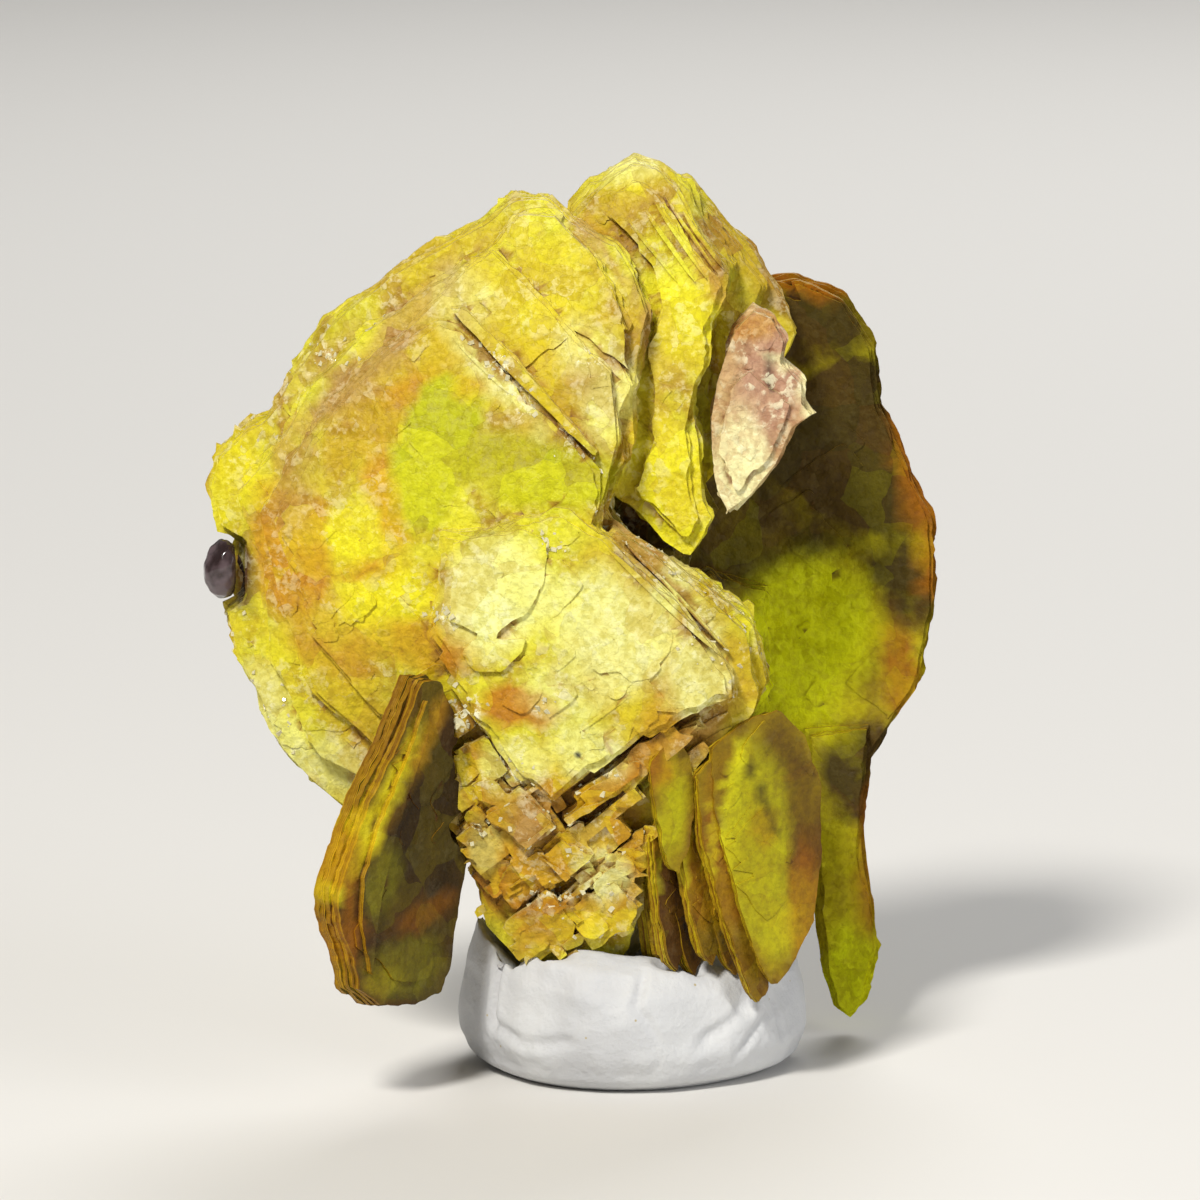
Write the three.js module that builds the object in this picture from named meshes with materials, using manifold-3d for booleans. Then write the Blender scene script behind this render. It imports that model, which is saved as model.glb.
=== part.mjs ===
// A thumbnail specimen of uranocircite: a fan of flaky, tabular crystal books grown together,
// with a dark grain on one rim, pressed into a foot of white putty.
// Millimetres, +Z up. The origin is the middle of the putty's flat underside, and the
// broad crystal faces look towards -Y.
import * as THREE from 'three';
import { mergeVertices } from 'three/addons/utils/BufferGeometryUtils.js';
import Module from 'manifold-3d';

const wasm = await Module();
wasm.setup();

// ---- driving dimensions ----
const parting = 0.3;            // open parting between neighbouring crystals
const overlap = 0.25;           // how deep stacked plates of one book run into each other
const rimSlope = 0.12;          // how far a plate's front edge draws in from its back edge
const innerRing = 0.6;          // where the ring of inner points lies, between middle and rim

const puttyWidth = 9.6;
const puttyDepth = 9.0;
const puttyHeight = 3.9;
const puttyBase = 0.8;          // share of the width that lies flat on the table

const crystalsAt = [0, -1];     // where the middle of the crystal group stands over the foot

// The front and upper books share one gently domed growth surface, highest at this point.
const domeTop = { u: 0, v: 11 };
const domeRadius = { u: 27, v: 35 };

// ---- frames and sheets ----
// A book has its own frame: u runs right, v runs up and n runs out of the broad face.
// yaw turns it about the vertical, at is where u = n = 0 stands.
// Its sheet says how far the growth surface stands out at u, v.
const frontSheet = {
  at: crystalsAt,
  yaw: 0,
  height: (u, v) =>
    -((u - domeTop.u) ** 2) / (2 * domeRadius.u) - ((v - domeTop.v) ** 2) / (2 * domeRadius.v),
};

function bookFrame(sheet) {
  const turn = THREE.MathUtils.degToRad(sheet.yaw);
  const along = new THREE.Vector3(Math.cos(turn), Math.sin(turn), 0);
  const out = new THREE.Vector3(Math.sin(turn), -Math.cos(turn), 0);
  const origin = new THREE.Vector3(sheet.at[0], sheet.at[1], 0);
  return (u, v, n) =>
    origin.clone().addScaledVector(along, u).addScaledVector(out, n).setZ(v);
}

// ---- solids ----
function solidFrom(geometry) {
  const bare = geometry.index ? geometry.clone() : geometry;
  bare.deleteAttribute('normal');
  bare.deleteAttribute('uv');
  const merged = mergeVertices(bare, 1e-4);
  return new wasm.Manifold(new wasm.Mesh({
    numProp: 3,
    vertProperties: new Float32Array(merged.attributes.position.array),
    triVerts: new Uint32Array(merged.index.array),
  }));
}

function geometryFrom(solid) {
  const mesh = solid.getMesh();
  const geometry = new THREE.BufferGeometry();
  geometry.setAttribute('position', new THREE.BufferAttribute(mesh.vertProperties, 3));
  geometry.setIndex(new THREE.BufferAttribute(mesh.triVerts, 1));
  return geometry;
}

function joined(solids) {
  return solids.reduce((whole, solid) => whole.add(solid));
}

// Moves every corner of a closed outline outwards, square to its two edges.
function widened(outline, by) {
  return outline.map(([u, v], i) => {
    const [bu, bv] = outline[(i + outline.length - 1) % outline.length];
    const [au, av] = outline[(i + 1) % outline.length];
    const before = new THREE.Vector2(u - bu, v - bv).normalize();
    const after = new THREE.Vector2(au - u, av - v).normalize();
    const out = new THREE.Vector2(before.y + after.y, -before.x - after.x);
    const reach = by / Math.max(0.5, out.length() / 2);
    out.setLength(reach);
    return [u + out.x, v + out.y];
  });
}

function counterClockwise(outline) {
  const shape = outline.map(([u, v]) => new THREE.Vector2(u, v));
  return THREE.ShapeUtils.area(shape) < 0 ? [...outline].reverse() : outline;
}

// One plate of a book: its outline, carried by the book's sheet, between two heights.
// grow makes it larger all round, for cutting the parting into a neighbour, and tilt leans it
// away from the sheet, in mm of rise for each mm along u and v.
function plateSolid(sheet, { outline, back, front, slope = rimSlope, tilt = [0, 0] }, grow = 0) {
  const place = bookFrame(sheet);
  const rim = widened(counterClockwise(outline), grow);
  const size = rim.length;
  const middle = rim.reduce(([mu, mv], [u, v]) => [mu + u / size, mv + v / size], [0, 0]);
  const lean = (u, v) => tilt[0] * (u - middle[0]) + tilt[1] * (v - middle[1]);
  const points = [];
  for (const [height, edge] of [[front + grow, widened(rim, -slope)], [back - grow, rim]]) {
    const put = ([u, v]) => points.push(place(u, v, height + sheet.height(u, v) + lean(u, v)));
    edge.forEach(put);
    edge.forEach(([u, v]) => put([
      middle[0] + (u - middle[0]) * innerRing,
      middle[1] + (v - middle[1]) * innerRing,
    ]));
    put(middle);
  }
  const faces = [];
  const behind = 2 * size + 1;
  for (let i = 0; i < size; i += 1) {
    const j = (i + 1) % size;
    const frontFaces = [[i, j, size + j], [i, size + j, size + i], [size + i, size + j, 2 * size]];
    for (const [a, b, c] of frontFaces) {
      faces.push(a, b, c, behind + c, behind + b, behind + a);
    }
    faces.push(i, behind + i, behind + j, i, behind + j, j);
  }
  const geometry = new THREE.BufferGeometry().setFromPoints(points);
  geometry.setIndex(faces);
  return solidFrom(geometry);
}

function bookSolid(book, grow = 0) {
  return joined(book.plates.map((plate) => plateSolid(book.sheet, plate, grow)));
}

// ---- the front book: broad stepped plates, the lower stack and the blocky foot crystals ----
// Small blocks stand on one corner, each a four-sided tablet with its own turn and tilt.
const blockBack = 1.2;
const blockSlope = 0.08;

function blockPlate([u, v, width, height, turnDegrees, front, tiltU = 0, tiltV = 0]) {
  const turn = THREE.MathUtils.degToRad(turnDegrees);
  const corners = [[-1, -1], [1, -1], [1, 1], [-1, 1]];
  const outline = corners.map(([su, sv]) => {
    const along = su * width / 2;
    const across = sv * height / 2;
    return [
      u + along * Math.cos(turn) - across * Math.sin(turn),
      v + along * Math.sin(turn) + across * Math.cos(turn),
    ];
  });
  return { outline, back: blockBack, front, slope: blockSlope, tilt: [tiltU, tiltV] };
}

// Rear leaves of the left half: each is smaller than the one before it and lies further back.
const rearLeafCount = 5;
const rearLeafThickness = 0.7;
const rearLeafShrink = 0.87;
const rearMiddle = { u: -5.6, v: 15.2 };
const rearOutline = [[-10.5, 16.2], [-9.2, 18.6], [-7.2, 20.9], [-4.8, 22.3], [-2.9, 23.0],
  [-2.3, 21.0], [-2.3, 15.5], [-2.3, 9.6], [-4.0, 7.6], [-7.3, 7.8], [-9.3, 9.9], [-10.5, 12.6]];

function rearLeaf(step) {
  const wander = 0.3 * Math.min(step, 2);
  const size = rearLeafShrink ** step;
  const outline = rearOutline.map(([u, v], corner) => [
    rearMiddle.u + (u - rearMiddle.u) * size + wander * Math.sin(2.3 * corner + 1.9 * step),
    rearMiddle.v + (v - rearMiddle.v) * size + wander * Math.cos(1.7 * corner + 2.6 * step),
  ]);
  const back = 0.3 - rearLeafThickness * (step + 1);
  return { outline, back, front: back + rearLeafThickness + overlap, slope: -0.16 };
}

const frontBook = {
  sheet: frontSheet,
  plates: [
    ...Array.from({ length: rearLeafCount }, (_, step) => rearLeaf(step)),
    // the broad plate that carries the outline
    { outline: [[-11.5, 15.8], [-11.3, 16.7], [-10.6, 17.4], [-9.9, 17.9], [-9.1, 19.2],
      [-8.0, 20.6], [-6.5, 21.9], [-5.3, 22.5], [-4.1, 23.2], [-3.2, 23.9], [-2.2, 23.9],
      [-1.3, 23.2], [-0.3, 22.7], [0.2, 22.0], [0.6, 20.8], [0.3, 19.6], [0.3, 17.4],
      [-0.5, 15.6], [0.4, 14.2], [0.6, 10.0], [-1.0, 7.2], [-4.2, 5.8], [-6.6, 6.4], [-7.7, 7.0],
      [-8.7, 7.8], [-9.6, 8.8], [-10.2, 10.2], [-10.8, 11.2], [-11.1, 12.6], [-10.6, 13.0],
      [-10.6, 14.4], [-11.2, 14.7]],
    back: 0.6, front: 1.5, slope: 0.2 },
    // ledges, each smaller than the one under it
    { outline: [[-10.9, 15.8], [-9.6, 17.4], [-8.6, 19.0], [-7.2, 20.4], [-5.6, 21.6], [-4.2, 22.4],
      [-3.2, 23.5], [-2.1, 23.6], [-1.0, 22.7], [-0.3, 21.7], [0.1, 20.4], [-0.3, 20.1],
      [0.3, 19.0], [-0.1, 18.2], [0.1, 17.0], [-0.8, 15.8], [-0.6, 11.0], [-3.0, 7.2],
      [-6.6, 7.6], [-8.6, 8.8], [-9.9, 11.4], [-10.2, 14.0]],
    back: 1.25, front: 2.1, slope: 0.2 },
    { outline: [[-10.2, 15.4], [-9.0, 17.4], [-7.4, 19.4], [-5.7, 20.9], [-4.6, 22.1], [-3.7, 22.7],
      [-2.2, 21.2], [-1.4, 20.3], [-0.4, 19.5], [-0.2, 17.6], [-0.6, 16.1], [-1.2, 12.0],
      [-3.4, 8.6], [-6.4, 8.6], [-8.6, 10.6], [-9.6, 13.0]],
    back: 1.85, front: 2.5, slope: 0.16 },
    { outline: [[-9.7, 15.2], [-8.7, 17.4], [-7.5, 19.0], [-6.4, 20.1], [-5.2, 20.8], [-4.4, 20.7],
      [-3.3, 19.6], [-1.9, 18.2], [-0.7, 16.9], [-0.8, 15.8], [-1.8, 13.0], [-4.0, 9.8],
      [-6.8, 10.0], [-8.7, 12.2]],
    back: 2.25, front: 2.8, slope: 0.14 },
    // the raised sliver along the inner ledge
    { outline: [[-4.9, 21.1], [-4.4, 21.1], [-2.6, 19.3], [-0.8, 17.3], [-1.0, 17.2], [-2.8, 18.9],
      [-4.6, 20.7]],
    back: 2.3, front: 2.95, slope: 0.04 },
    // the lower stack, pale and thinly leaved
    { outline: [[-5.2, 15.4], [-4.3, 15.3], [-3.0, 15.7], [-1.8, 15.9], [-0.6, 15.2], [0.3, 14.4],
      [1.3, 13.5], [1.9, 12.6], [2.8, 11.5], [2.8, 10.8], [2.2, 10.6], [1.5, 10.3], [0.4, 9.8],
      [-0.9, 8.9], [-2.1, 7.8], [-3.2, 8.6], [-4.4, 10.4], [-5.4, 12.6]],
    back: 2.2, front: 3.3, slope: 0.16 },
    { outline: [[-4.9, 15.1], [-3.0, 15.5], [-2.2, 15.1], [-2.2, 13.9], [-2.7, 13.1], [-3.8, 12.3],
      [-5.0, 12.9]],
    back: 3.0, front: 3.48, slope: 0.08 },
    { outline: [[-4.3, 12.6], [-2.7, 12.6], [-2.8, 12.1], [-3.4, 11.5], [-4.2, 11.5], [-4.7, 12.0]],
    back: 3.0, front: 3.42, slope: 0.08 },
    { outline: [[-0.5, 15.4], [0.6, 14.7], [1.5, 13.9], [2.4, 13.1], [3.1, 12.6], [3.3, 11.6],
      [3.6, 10.8], [3.1, 9.5], [2.5, 8.8], [1.2, 8.8], [-1.5, 9.4], [-2.5, 13.0]],
    back: 1.4, front: 2.35, slope: 0.14 },
    { outline: [[0.3, 14.6], [1.9, 13.8], [3.3, 12.7], [3.8, 11.0], [3.4, 9.9], [1.6, 9.4],
      [-1.0, 10.4], [-1.6, 13.0]],
    back: 0.2, front: 1.55, slope: 0.14 },
    // the root that the whole group has grown from
    { outline: [[-4.4, 12.8], [-2.0, 14.2], [0.8, 13.8], [2.3, 12.4], [2.3, 9.9], [0.9, 8.2],
      [0.6, 5.4], [-0.4, 2.9], [-2.4, 2.6], [-4.0, 4.2], [-4.7, 8.0]],
    back: -2.6, front: 2.4, slope: 0.1 },
    { outline: [[-3.4, 12.2], [0.6, 12.6], [1.7, 10.4], [0.8, 7.6], [0.2, 4.2], [-1.2, 2.8],
      [-2.8, 3.6], [-3.7, 7.0]],
    back: -3.6, front: -2.4, slope: -0.3 },
    { outline: [[-2.6, 11.2], [0.2, 11.8], [1.2, 9.6], [0.6, 6.8], [-0.8, 3.4], [-2.4, 5.0]],
    back: -4.6, front: -3.4, slope: -0.3 },
    // the foot of small blocky crystals
    { outline: [[-4.9, 10.4], [-1.6, 9.6], [1.3, 9.9], [1.2, 8.8], [0.0, 7.4], [-0.1, 5.2],
      [-0.9, 4.3], [-1.9, 3.7], [-3.2, 4.8], [-4.6, 6.2], [-4.6, 8.6]],
    back: 1.3, front: 2.5, slope: 0.25 },
    ...[
      // u, v, width, height, turn, front, tilt along u and v
      [-2.9, 7.5, 1.3, 1.6, 43, 3.35, 0.08, -0.12],
      [-2.3, 8.5, 1.7, 0.5, 36, 3.2, -0.1, 0.1],
      [-4.1, 8.9, 0.9, 1.4, 52, 3.0, 0.25, 0.1],
      [-3.7, 8.1, 0.7, 0.9, 47, 3.15, 0.1, 0.15],
      [-4.0, 7.0, 0.9, 1.2, 38, 2.9, -0.15, 0.2],
      [-3.8, 5.9, 1.1, 0.8, 55, 2.75, 0.15, 0.25],
      [-1.8, 9.2, 1.8, 0.8, 33, 3.1, -0.1, 0],
      [-0.1, 8.9, 3.4, 0.6, 34, 3.15, 0, -0.1],
      [-0.8, 8.2, 2.6, 0.45, 37, 3.25, 0.05, -0.15],
      [-0.6, 7.6, 2.2, 0.5, 40, 3.1, 0, 0.12],
      [0.4, 9.0, 1.8, 0.5, 41, 3.0, -0.15, 0.1],
      [-0.7, 6.9, 1.5, 0.8, 37, 2.95, 0.15, 0.1],
      [-1.7, 6.5, 1.3, 1.1, 45, 3.2, -0.1, -0.15],
      [-2.4, 6.3, 0.7, 0.8, 58, 3.1, 0.1, 0.1],
      [-0.6, 6.0, 1.3, 0.7, 34, 2.95, 0.2, -0.1],
      [-2.7, 5.6, 1.2, 0.8, 40, 2.95, -0.1, 0.15],
      [-1.5, 5.4, 2.1, 0.45, 38, 3.1, 0, -0.1],
      [-0.9, 5.0, 1.4, 0.7, 42, 2.8, -0.1, 0.15],
      [-2.0, 4.5, 1.5, 1.1, 46, 2.95, 0.1, 0.15],
      [-3.1, 4.9, 0.9, 1.1, 52, 2.6, 0.2, 0.1],
      [1.3, 9.7, 1.6, 0.5, 36, 3.0, 0, -0.1],
      [1.7, 9.1, 1.3, 0.6, 44, 2.7, -0.15, 0],
    ].map(blockPlate),
  ],
};

// ---- the upper book: a curved stack behind the front book's right edge ----
const upperBook = {
  sheet: frontSheet,
  plates: [
    { outline: [[-1.9, 22.6], [-1.7, 23.2], [-1.1, 23.8], [-0.5, 24.3], [0.1, 24.7], [0.8, 24.5],
      [1.4, 23.9], [2.0, 22.9], [2.8, 21.7], [2.7, 21.0], [2.3, 20.4], [2.3, 19.3], [1.9, 18.2],
      [2.0, 16.6], [2.1, 15.8], [2.4, 15.2], [1.6, 14.0], [0.8, 14.5], [0.1, 15.2], [-0.6, 15.8],
      [-1.9, 16.6]],
    back: -1.4, front: 0.3, slope: 0.16 },
    { outline: [[-1.2, 22.6], [-0.5, 23.9], [0.1, 24.3], [0.8, 23.9], [1.7, 22.6], [2.6, 21.4],
      [2.1, 20.3], [2.1, 18.9], [1.7, 17.6], [1.8, 16.0], [2.1, 15.2], [1.5, 14.5], [0.2, 15.6],
      [-1.2, 17.0]],
    back: -0.6, front: 0.6, slope: 0.2 },
    // leaves that step back on the right and run down to the root
    { outline: [[-1.8, 21.8], [-0.6, 24.2], [1.0, 24.3], [1.8, 23.7], [2.3, 22.7], [3.0, 21.7],
      [2.5, 20.2], [2.3, 18.2], [2.3, 16.4], [1.4, 15.2], [0.9, 13.4], [-1.4, 13.2], [-1.8, 16.6]],
    back: -2.2, front: -1.2, slope: 0.14 },
    { outline: [[-1.6, 21.4], [-0.4, 23.6], [1.6, 23.9], [2.4, 23.0], [3.2, 21.9], [3.8, 21.0],
      [3.2, 19.4], [2.5, 17.0], [1.5, 15.0], [1.2, 12.6], [-1.2, 12.2], [-1.7, 16.8]],
    back: -3.0, front: -2.0, slope: 0.14 },
    { outline: [[-1.2, 21.0], [0.4, 23.2], [2.0, 23.3], [3.4, 21.9], [4.2, 20.6], [4.6, 19.6],
      [3.6, 17.6], [2.0, 15.4], [1.4, 11.8], [-1.0, 11.6], [-1.5, 17.0]],
    back: -3.9, front: -2.85, slope: 0.1 },
  ],
};

// ---- the side plate: a thick pinkish leaf beside the upper book's face ----
const sidePlate = {
  sheet: { ...frontSheet, height: (u, v) => frontSheet.height(u, v) + 0.05 * (u - 3.6) },
  plates: [
    { outline: [[3.3, 20.8], [3.9, 20.5], [4.3, 19.8], [4.2, 19.3], [4.8, 18.7], [4.8, 18.2],
      [5.1, 17.8], [4.5, 17.4], [4.0, 16.4], [3.3, 15.6], [2.5, 15.0], [2.0, 15.9], [1.9, 17.4],
      [2.2, 19.0], [2.7, 20.2]],
    back: -0.95, front: -0.2, slope: 0.16 },
    { outline: [[3.2, 19.2], [4.5, 18.2], [3.7, 16.5], [2.8, 15.7], [2.3, 17.0], [2.5, 18.6]],
    back: -0.6, front: 0, slope: 0.14 },
  ],
};

// ---- the rear plate: one wide concave leaf with a tongue hanging from its lower edge ----
const rearSheet = {
  at: crystalsAt,
  yaw: 0,
  height: (u, v) => -7.0 + (u - 4) ** 2 / 32 + (v - 13) ** 2 / 70,
};

// Leaves that lead from the rear plate forwards to the root of the group, each a little smaller.
const rootLeafCount = 5;
const rootLeafThickness = 0.95;
const rootOutline = [[-1.0, 10.2], [0.4, 12.0], [2.2, 12.8], [3.6, 12.0], [4.2, 9.9], [3.6, 7.6],
  [2.4, 6.3], [0.6, 6.0], [-0.8, 7.6]];

function rootLeaf(step) {
  const wander = 0.3;
  const outline = rootOutline.map(([u, v], corner) => [
    u - 0.09 * step * (u + 0.8) + wander * Math.sin(2.9 * corner + 2.2 * step),
    v - 0.05 * step * (v - 9) + wander * Math.cos(2.2 * corner + 1.3 * step),
  ]);
  const back = 0.1 + rootLeafThickness * step;
  return { outline, back, front: back + rootLeafThickness + overlap, slope: 0.14 };
}

const rearPlate = {
  sheet: rearSheet,
  plates: [
    { outline: [[-1.4, 11.6], [-0.8, 15.4], [0.4, 18.0], [1.8, 19.9], [3.4, 20.8], [4.6, 21.0],
      [5.9, 20.4], [6.8, 19.1], [7.0, 17.3], [7.7, 15.8], [8.4, 14.1], [8.5, 11.6], [8.1, 9.7],
      [7.3, 8.3], [6.3, 6.8], [4.6, 6.2], [2.2, 6.0], [0.0, 7.6]],
    back: -0.5, front: 0.4, slope: 0.15 },
    { outline: [[-0.4, 11.6], [0.4, 15.0], [1.9, 18.2], [4.4, 19.4], [5.8, 18.2], [6.6, 15.4],
      [7.3, 12.0], [6.2, 8.8], [3.4, 7.2], [0.8, 8.2]],
    back: -1.2, front: -0.3, slope: -0.3 },
    { outline: [[0.8, 11.4], [1.6, 14.6], [3.6, 16.6], [5.4, 14.6], [5.6, 11.0], [3.8, 8.8],
      [1.8, 9.2]],
    back: -1.8, front: -1.0, slope: -0.3 },
    ...Array.from({ length: rootLeafCount }, (_, step) => rootLeaf(step)),
    // the tongue
    { outline: [[4.7, 8.4], [6.8, 8.6], [6.5, 6.2], [6.7, 4.2], [6.9, 2.4], [6.6, 1.0], [6.1, 0.4],
      [5.6, 0.7], [5.3, 1.6], [5.0, 3.4], [4.8, 6.0]],
    back: -0.1, front: 0.9, slope: 0.25 },
  ],
};

// ---- the left blade: a thick leaf standing out of the front book's lower left ----
const leftBlade = {
  sheet: { at: [-8.0, -6.6], yaw: 45, height: (u) => -((u - 2.6) ** 2) / 40 },
  plates: [
    { outline: [[3.1, 11.5], [2.2, 10.0], [1.2, 8.6], [0.5, 7.2], [0.0, 6.0], [0.1, 5.2],
      [0.5, 4.2], [0.7, 3.3], [1.5, 2.7], [2.8, 2.5], [3.9, 2.7], [4.4, 3.5], [4.6, 4.6],
      [5.1, 6.4], [5.2, 8.8], [4.7, 10.2], [3.9, 11.4]],
    back: -0.6, front: 0.3, slope: 0.12 },
    { outline: [[2.5, 9.8], [1.5, 8.3], [0.8, 6.8], [0.4, 5.6], [1.0, 4.2], [1.6, 3.3], [2.9, 3.1],
      [4.0, 3.6], [4.6, 6.2], [4.6, 8.6], [3.6, 10.0]],
    back: -0.9, front: 0.1, slope: -0.2 },
    // the ridge along its broken side
    { outline: [[3.2, 11.0], [2.3, 9.5], [1.4, 7.9], [0.8, 6.4], [0.7, 5.0], [1.1, 3.6], [1.3, 4.8],
      [1.7, 6.4], [2.5, 8.4], [3.4, 10.2]],
    back: 0.05, front: 0.5, slope: 0.08 },
  ],
};

// ---- the blade fan: leaves hanging side by side under the lower stack ----
// One row for each blade: where its near edge stands, its turn, and its tip, top and width.
const fanBlades = [
  { at: [2.1, -3.5], yaw: 26, top: 10.3, tip: 2.9, width: 3.3, lean: 1.2, thick: 0.5 },
  { at: [1.7, -3.75], yaw: 36, top: 9.6, tip: 2.3, width: 2.6, lean: 1.3, thick: 0.4 },
  { at: [1.35, -3.35], yaw: 44, top: 9.3, tip: 3.5, width: 2.5, lean: 1.1, thick: 0.4 },
  { at: [0.5, -4.0], yaw: 24, top: 9.6, tip: 6.0, width: 1.25, lean: 0.45, thick: 0.35 },
  { at: [1.05, -3.75], yaw: 50, top: 9.5, tip: 4.6, width: 2.2, lean: 0.7, thick: 0.35 },
  { at: [0.75, -3.3], yaw: 56, top: 9.1, tip: 3.3, width: 2.3, lean: 0.5, thick: 0.35 },
  { at: [0.45, -3.7], yaw: 48, top: 7.6, tip: 3.6, width: 1.6, lean: 0.45, thick: 0.35 },
  { at: [0.3, -3.1], yaw: 62, top: 8.6, tip: 3.9, width: 2.2, lean: 0.3, thick: 0.35 },
  { at: [0.1, -2.7], yaw: 70, top: 8.5, tip: 3.6, width: 2.0, lean: 0.2, thick: 0.35 },
];
const bladeCurl = 0.012;        // how the blades bend forwards towards the tip, per mm squared
const bladeBow = 0.05;          // how their two long edges bend back, per mm squared

function fanBlade({ at, yaw, top, tip, width, lean, thick }, grow) {
  const reach = top - tip;
  const height = (u, v) => bladeCurl * (top - v) ** 2 - bladeBow * (u - 0.4 * width) ** 2;
  const outline = [
    [0, top - 0.12 * reach], [0.05, top - 0.35 * reach], [0.3 * lean, top - 0.55 * reach],
    [0.7 * lean, top - 0.8 * reach], [lean, tip + 0.05 * reach], [lean + 0.3, tip],
    [lean + 0.25 * width, tip + 0.05 * reach], [0.85 * width, tip + 0.2 * reach],
    [0.97 * width, tip + 0.42 * reach], [width, top - 0.3 * reach],
    [0.85 * width, top - 0.1 * reach], [0.6 * width, top], [0.35 * width, top - 0.02 * reach],
  ];
  return plateSolid(
    { at, yaw, height },
    { outline, back: -thick / 2, front: thick / 2, slope: 0.06 },
    grow,
  );
}

// A bar that the blades' upper ends have grown from.
const fanRoot = { size: [3.6, 1.2, 1.2], turn: -22, at: [2.2, -1.95, 8.0] };

function fanSolid(grow = 0) {
  const root = new THREE.BoxGeometry(...fanRoot.size);
  root.rotateZ(THREE.MathUtils.degToRad(fanRoot.turn));
  root.translate(...fanRoot.at);
  return joined([solidFrom(root), ...fanBlades.map((blade) => fanBlade(blade, grow))]);
}

// ---- the dark grain: a glassy lump on the left rim ----
const grainHalf = [0.55, 0.7, 0.85];
const grainLean = 0.25;
const grainAt = [-11.0, -0.1, 13.7];

function grainSolid() {
  const lump = new THREE.IcosahedronGeometry(1, 1);
  lump.scale(...grainHalf);
  lump.rotateY(grainLean);
  lump.translate(...grainAt);
  return solidFrom(lump);
}

// ---- the putty foot ----
// A pressed lump: flat underneath, bulging sides, and a top pushed up round the crystals.
// The profile runs from the middle of the underside out and up to the middle of the top,
// as shares of the half width and of the height.
const puttyProfile = [
  [0, 0], [0.45, 0], [puttyBase, 0], [0.93, 0.07], [1, 0.25], [1, 0.48], [0.96, 0.7],
  [0.86, 0.88], [0.7, 0.98], [0.45, 1], [0.2, 0.98], [0, 0.97],
];
const puttySides = 36;
const puttyWall = { at: 2.9, rise: 0.26, narrow: 3, from: 0.4 };    // pushed up on the left
const puttyDent = { at: -0.9, fall: 0.12, narrow: 4, from: 0.5 };   // pressed down at the right front

function puttySolid() {
  const lathe = new THREE.LatheGeometry(
    puttyProfile.map(([r, h]) => new THREE.Vector2(r, h)),
    puttySides,
  );
  lathe.rotateX(Math.PI / 2);
  const position = lathe.attributes.position;
  const point = new THREE.Vector3();
  for (let i = 0; i < position.count; i += 1) {
    point.fromBufferAttribute(position, i);
    const turn = Math.atan2(point.y, point.x);
    const bulge = 1 + 0.035 * Math.sin(3 * turn + 0.6) - 0.03 * Math.cos(5 * turn) * point.z;
    const wall = puttyWall.rise
      * Math.exp(-((Math.abs(turn) - puttyWall.at) ** 2) * puttyWall.narrow)
      * THREE.MathUtils.smoothstep(point.z, puttyWall.from, 1);
    const dent = puttyDent.fall
      * Math.exp(-((turn - puttyDent.at) ** 2) * puttyDent.narrow)
      * THREE.MathUtils.smoothstep(point.z, puttyDent.from, 1);
    position.setXYZ(
      i,
      point.x * bulge * puttyWidth / 2,
      point.y * bulge * puttyDepth / 2,
      point.z * puttyHeight * (1 + wall - dent),
    );
  }
  return solidFrom(lathe);
}

// ---- cutting the partings ----
// Each crystal gives way to those before it, so no two share a surface.
function largest(solid) {
  const bodies = solid.decompose();
  return bodies.reduce((best, body) => (body.volume() > best.volume() ? body : best));
}

const frontSolid = bookSolid(frontBook);
const frontRoom = bookSolid(frontBook, parting);
const upperSolid = largest(bookSolid(upperBook).subtract(frontRoom));
const upperRoom = bookSolid(upperBook, parting);
const sideSolid = largest(bookSolid(sidePlate).subtract(upperRoom).subtract(frontRoom));
const sideRoom = bookSolid(sidePlate, parting);
const rearSolid = largest(bookSolid(rearPlate).subtract(frontRoom).subtract(upperRoom).subtract(sideRoom));
const rearRoom = bookSolid(rearPlate, parting);
const leftSolid = largest(bookSolid(leftBlade).subtract(frontRoom));
const fan = largest(fanSolid().subtract(frontRoom).subtract(rearRoom));
const grain = largest(grainSolid().subtract(frontRoom));
const putty = largest(puttySolid().subtract(frontRoom).subtract(rearRoom).subtract(fanSolid(parting)));

// ---- the specimen ----
const specimen = new THREE.Group();

function addPiece(name, solid, colour, roughness, metalness = 0) {
  const material = new THREE.MeshStandardMaterial({ color: colour, roughness, metalness, flatShading: true });
  const mesh = new THREE.Mesh(geometryFrom(solid), material);
  mesh.name = name;
  specimen.add(mesh);
}

addPiece('front_book', frontSolid, '#d9c64f', 0.55);
addPiece('upper_book', upperSolid, '#dcc93a', 0.55);
addPiece('side_plate', sideSolid, '#c9a98a', 0.65);
addPiece('rear_plate', rearSolid, '#8f9410', 0.5);
addPiece('left_blade', leftSolid, '#8a6a1a', 0.5);
addPiece('blade_fan', fan, '#a3a318', 0.5);
addPiece('dark_grain', grain, '#4a4440', 0.25);
addPiece('putty_foot', putty, '#e6e6e4', 0.85);

export default specimen;
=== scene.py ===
import math
import random
import time

import bmesh
import bpy
import numpy as np
from mathutils import Matrix, Vector
from mathutils.bvhtree import BVHTree
from mathutils.geometry import delaunay_2d_cdt


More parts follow.
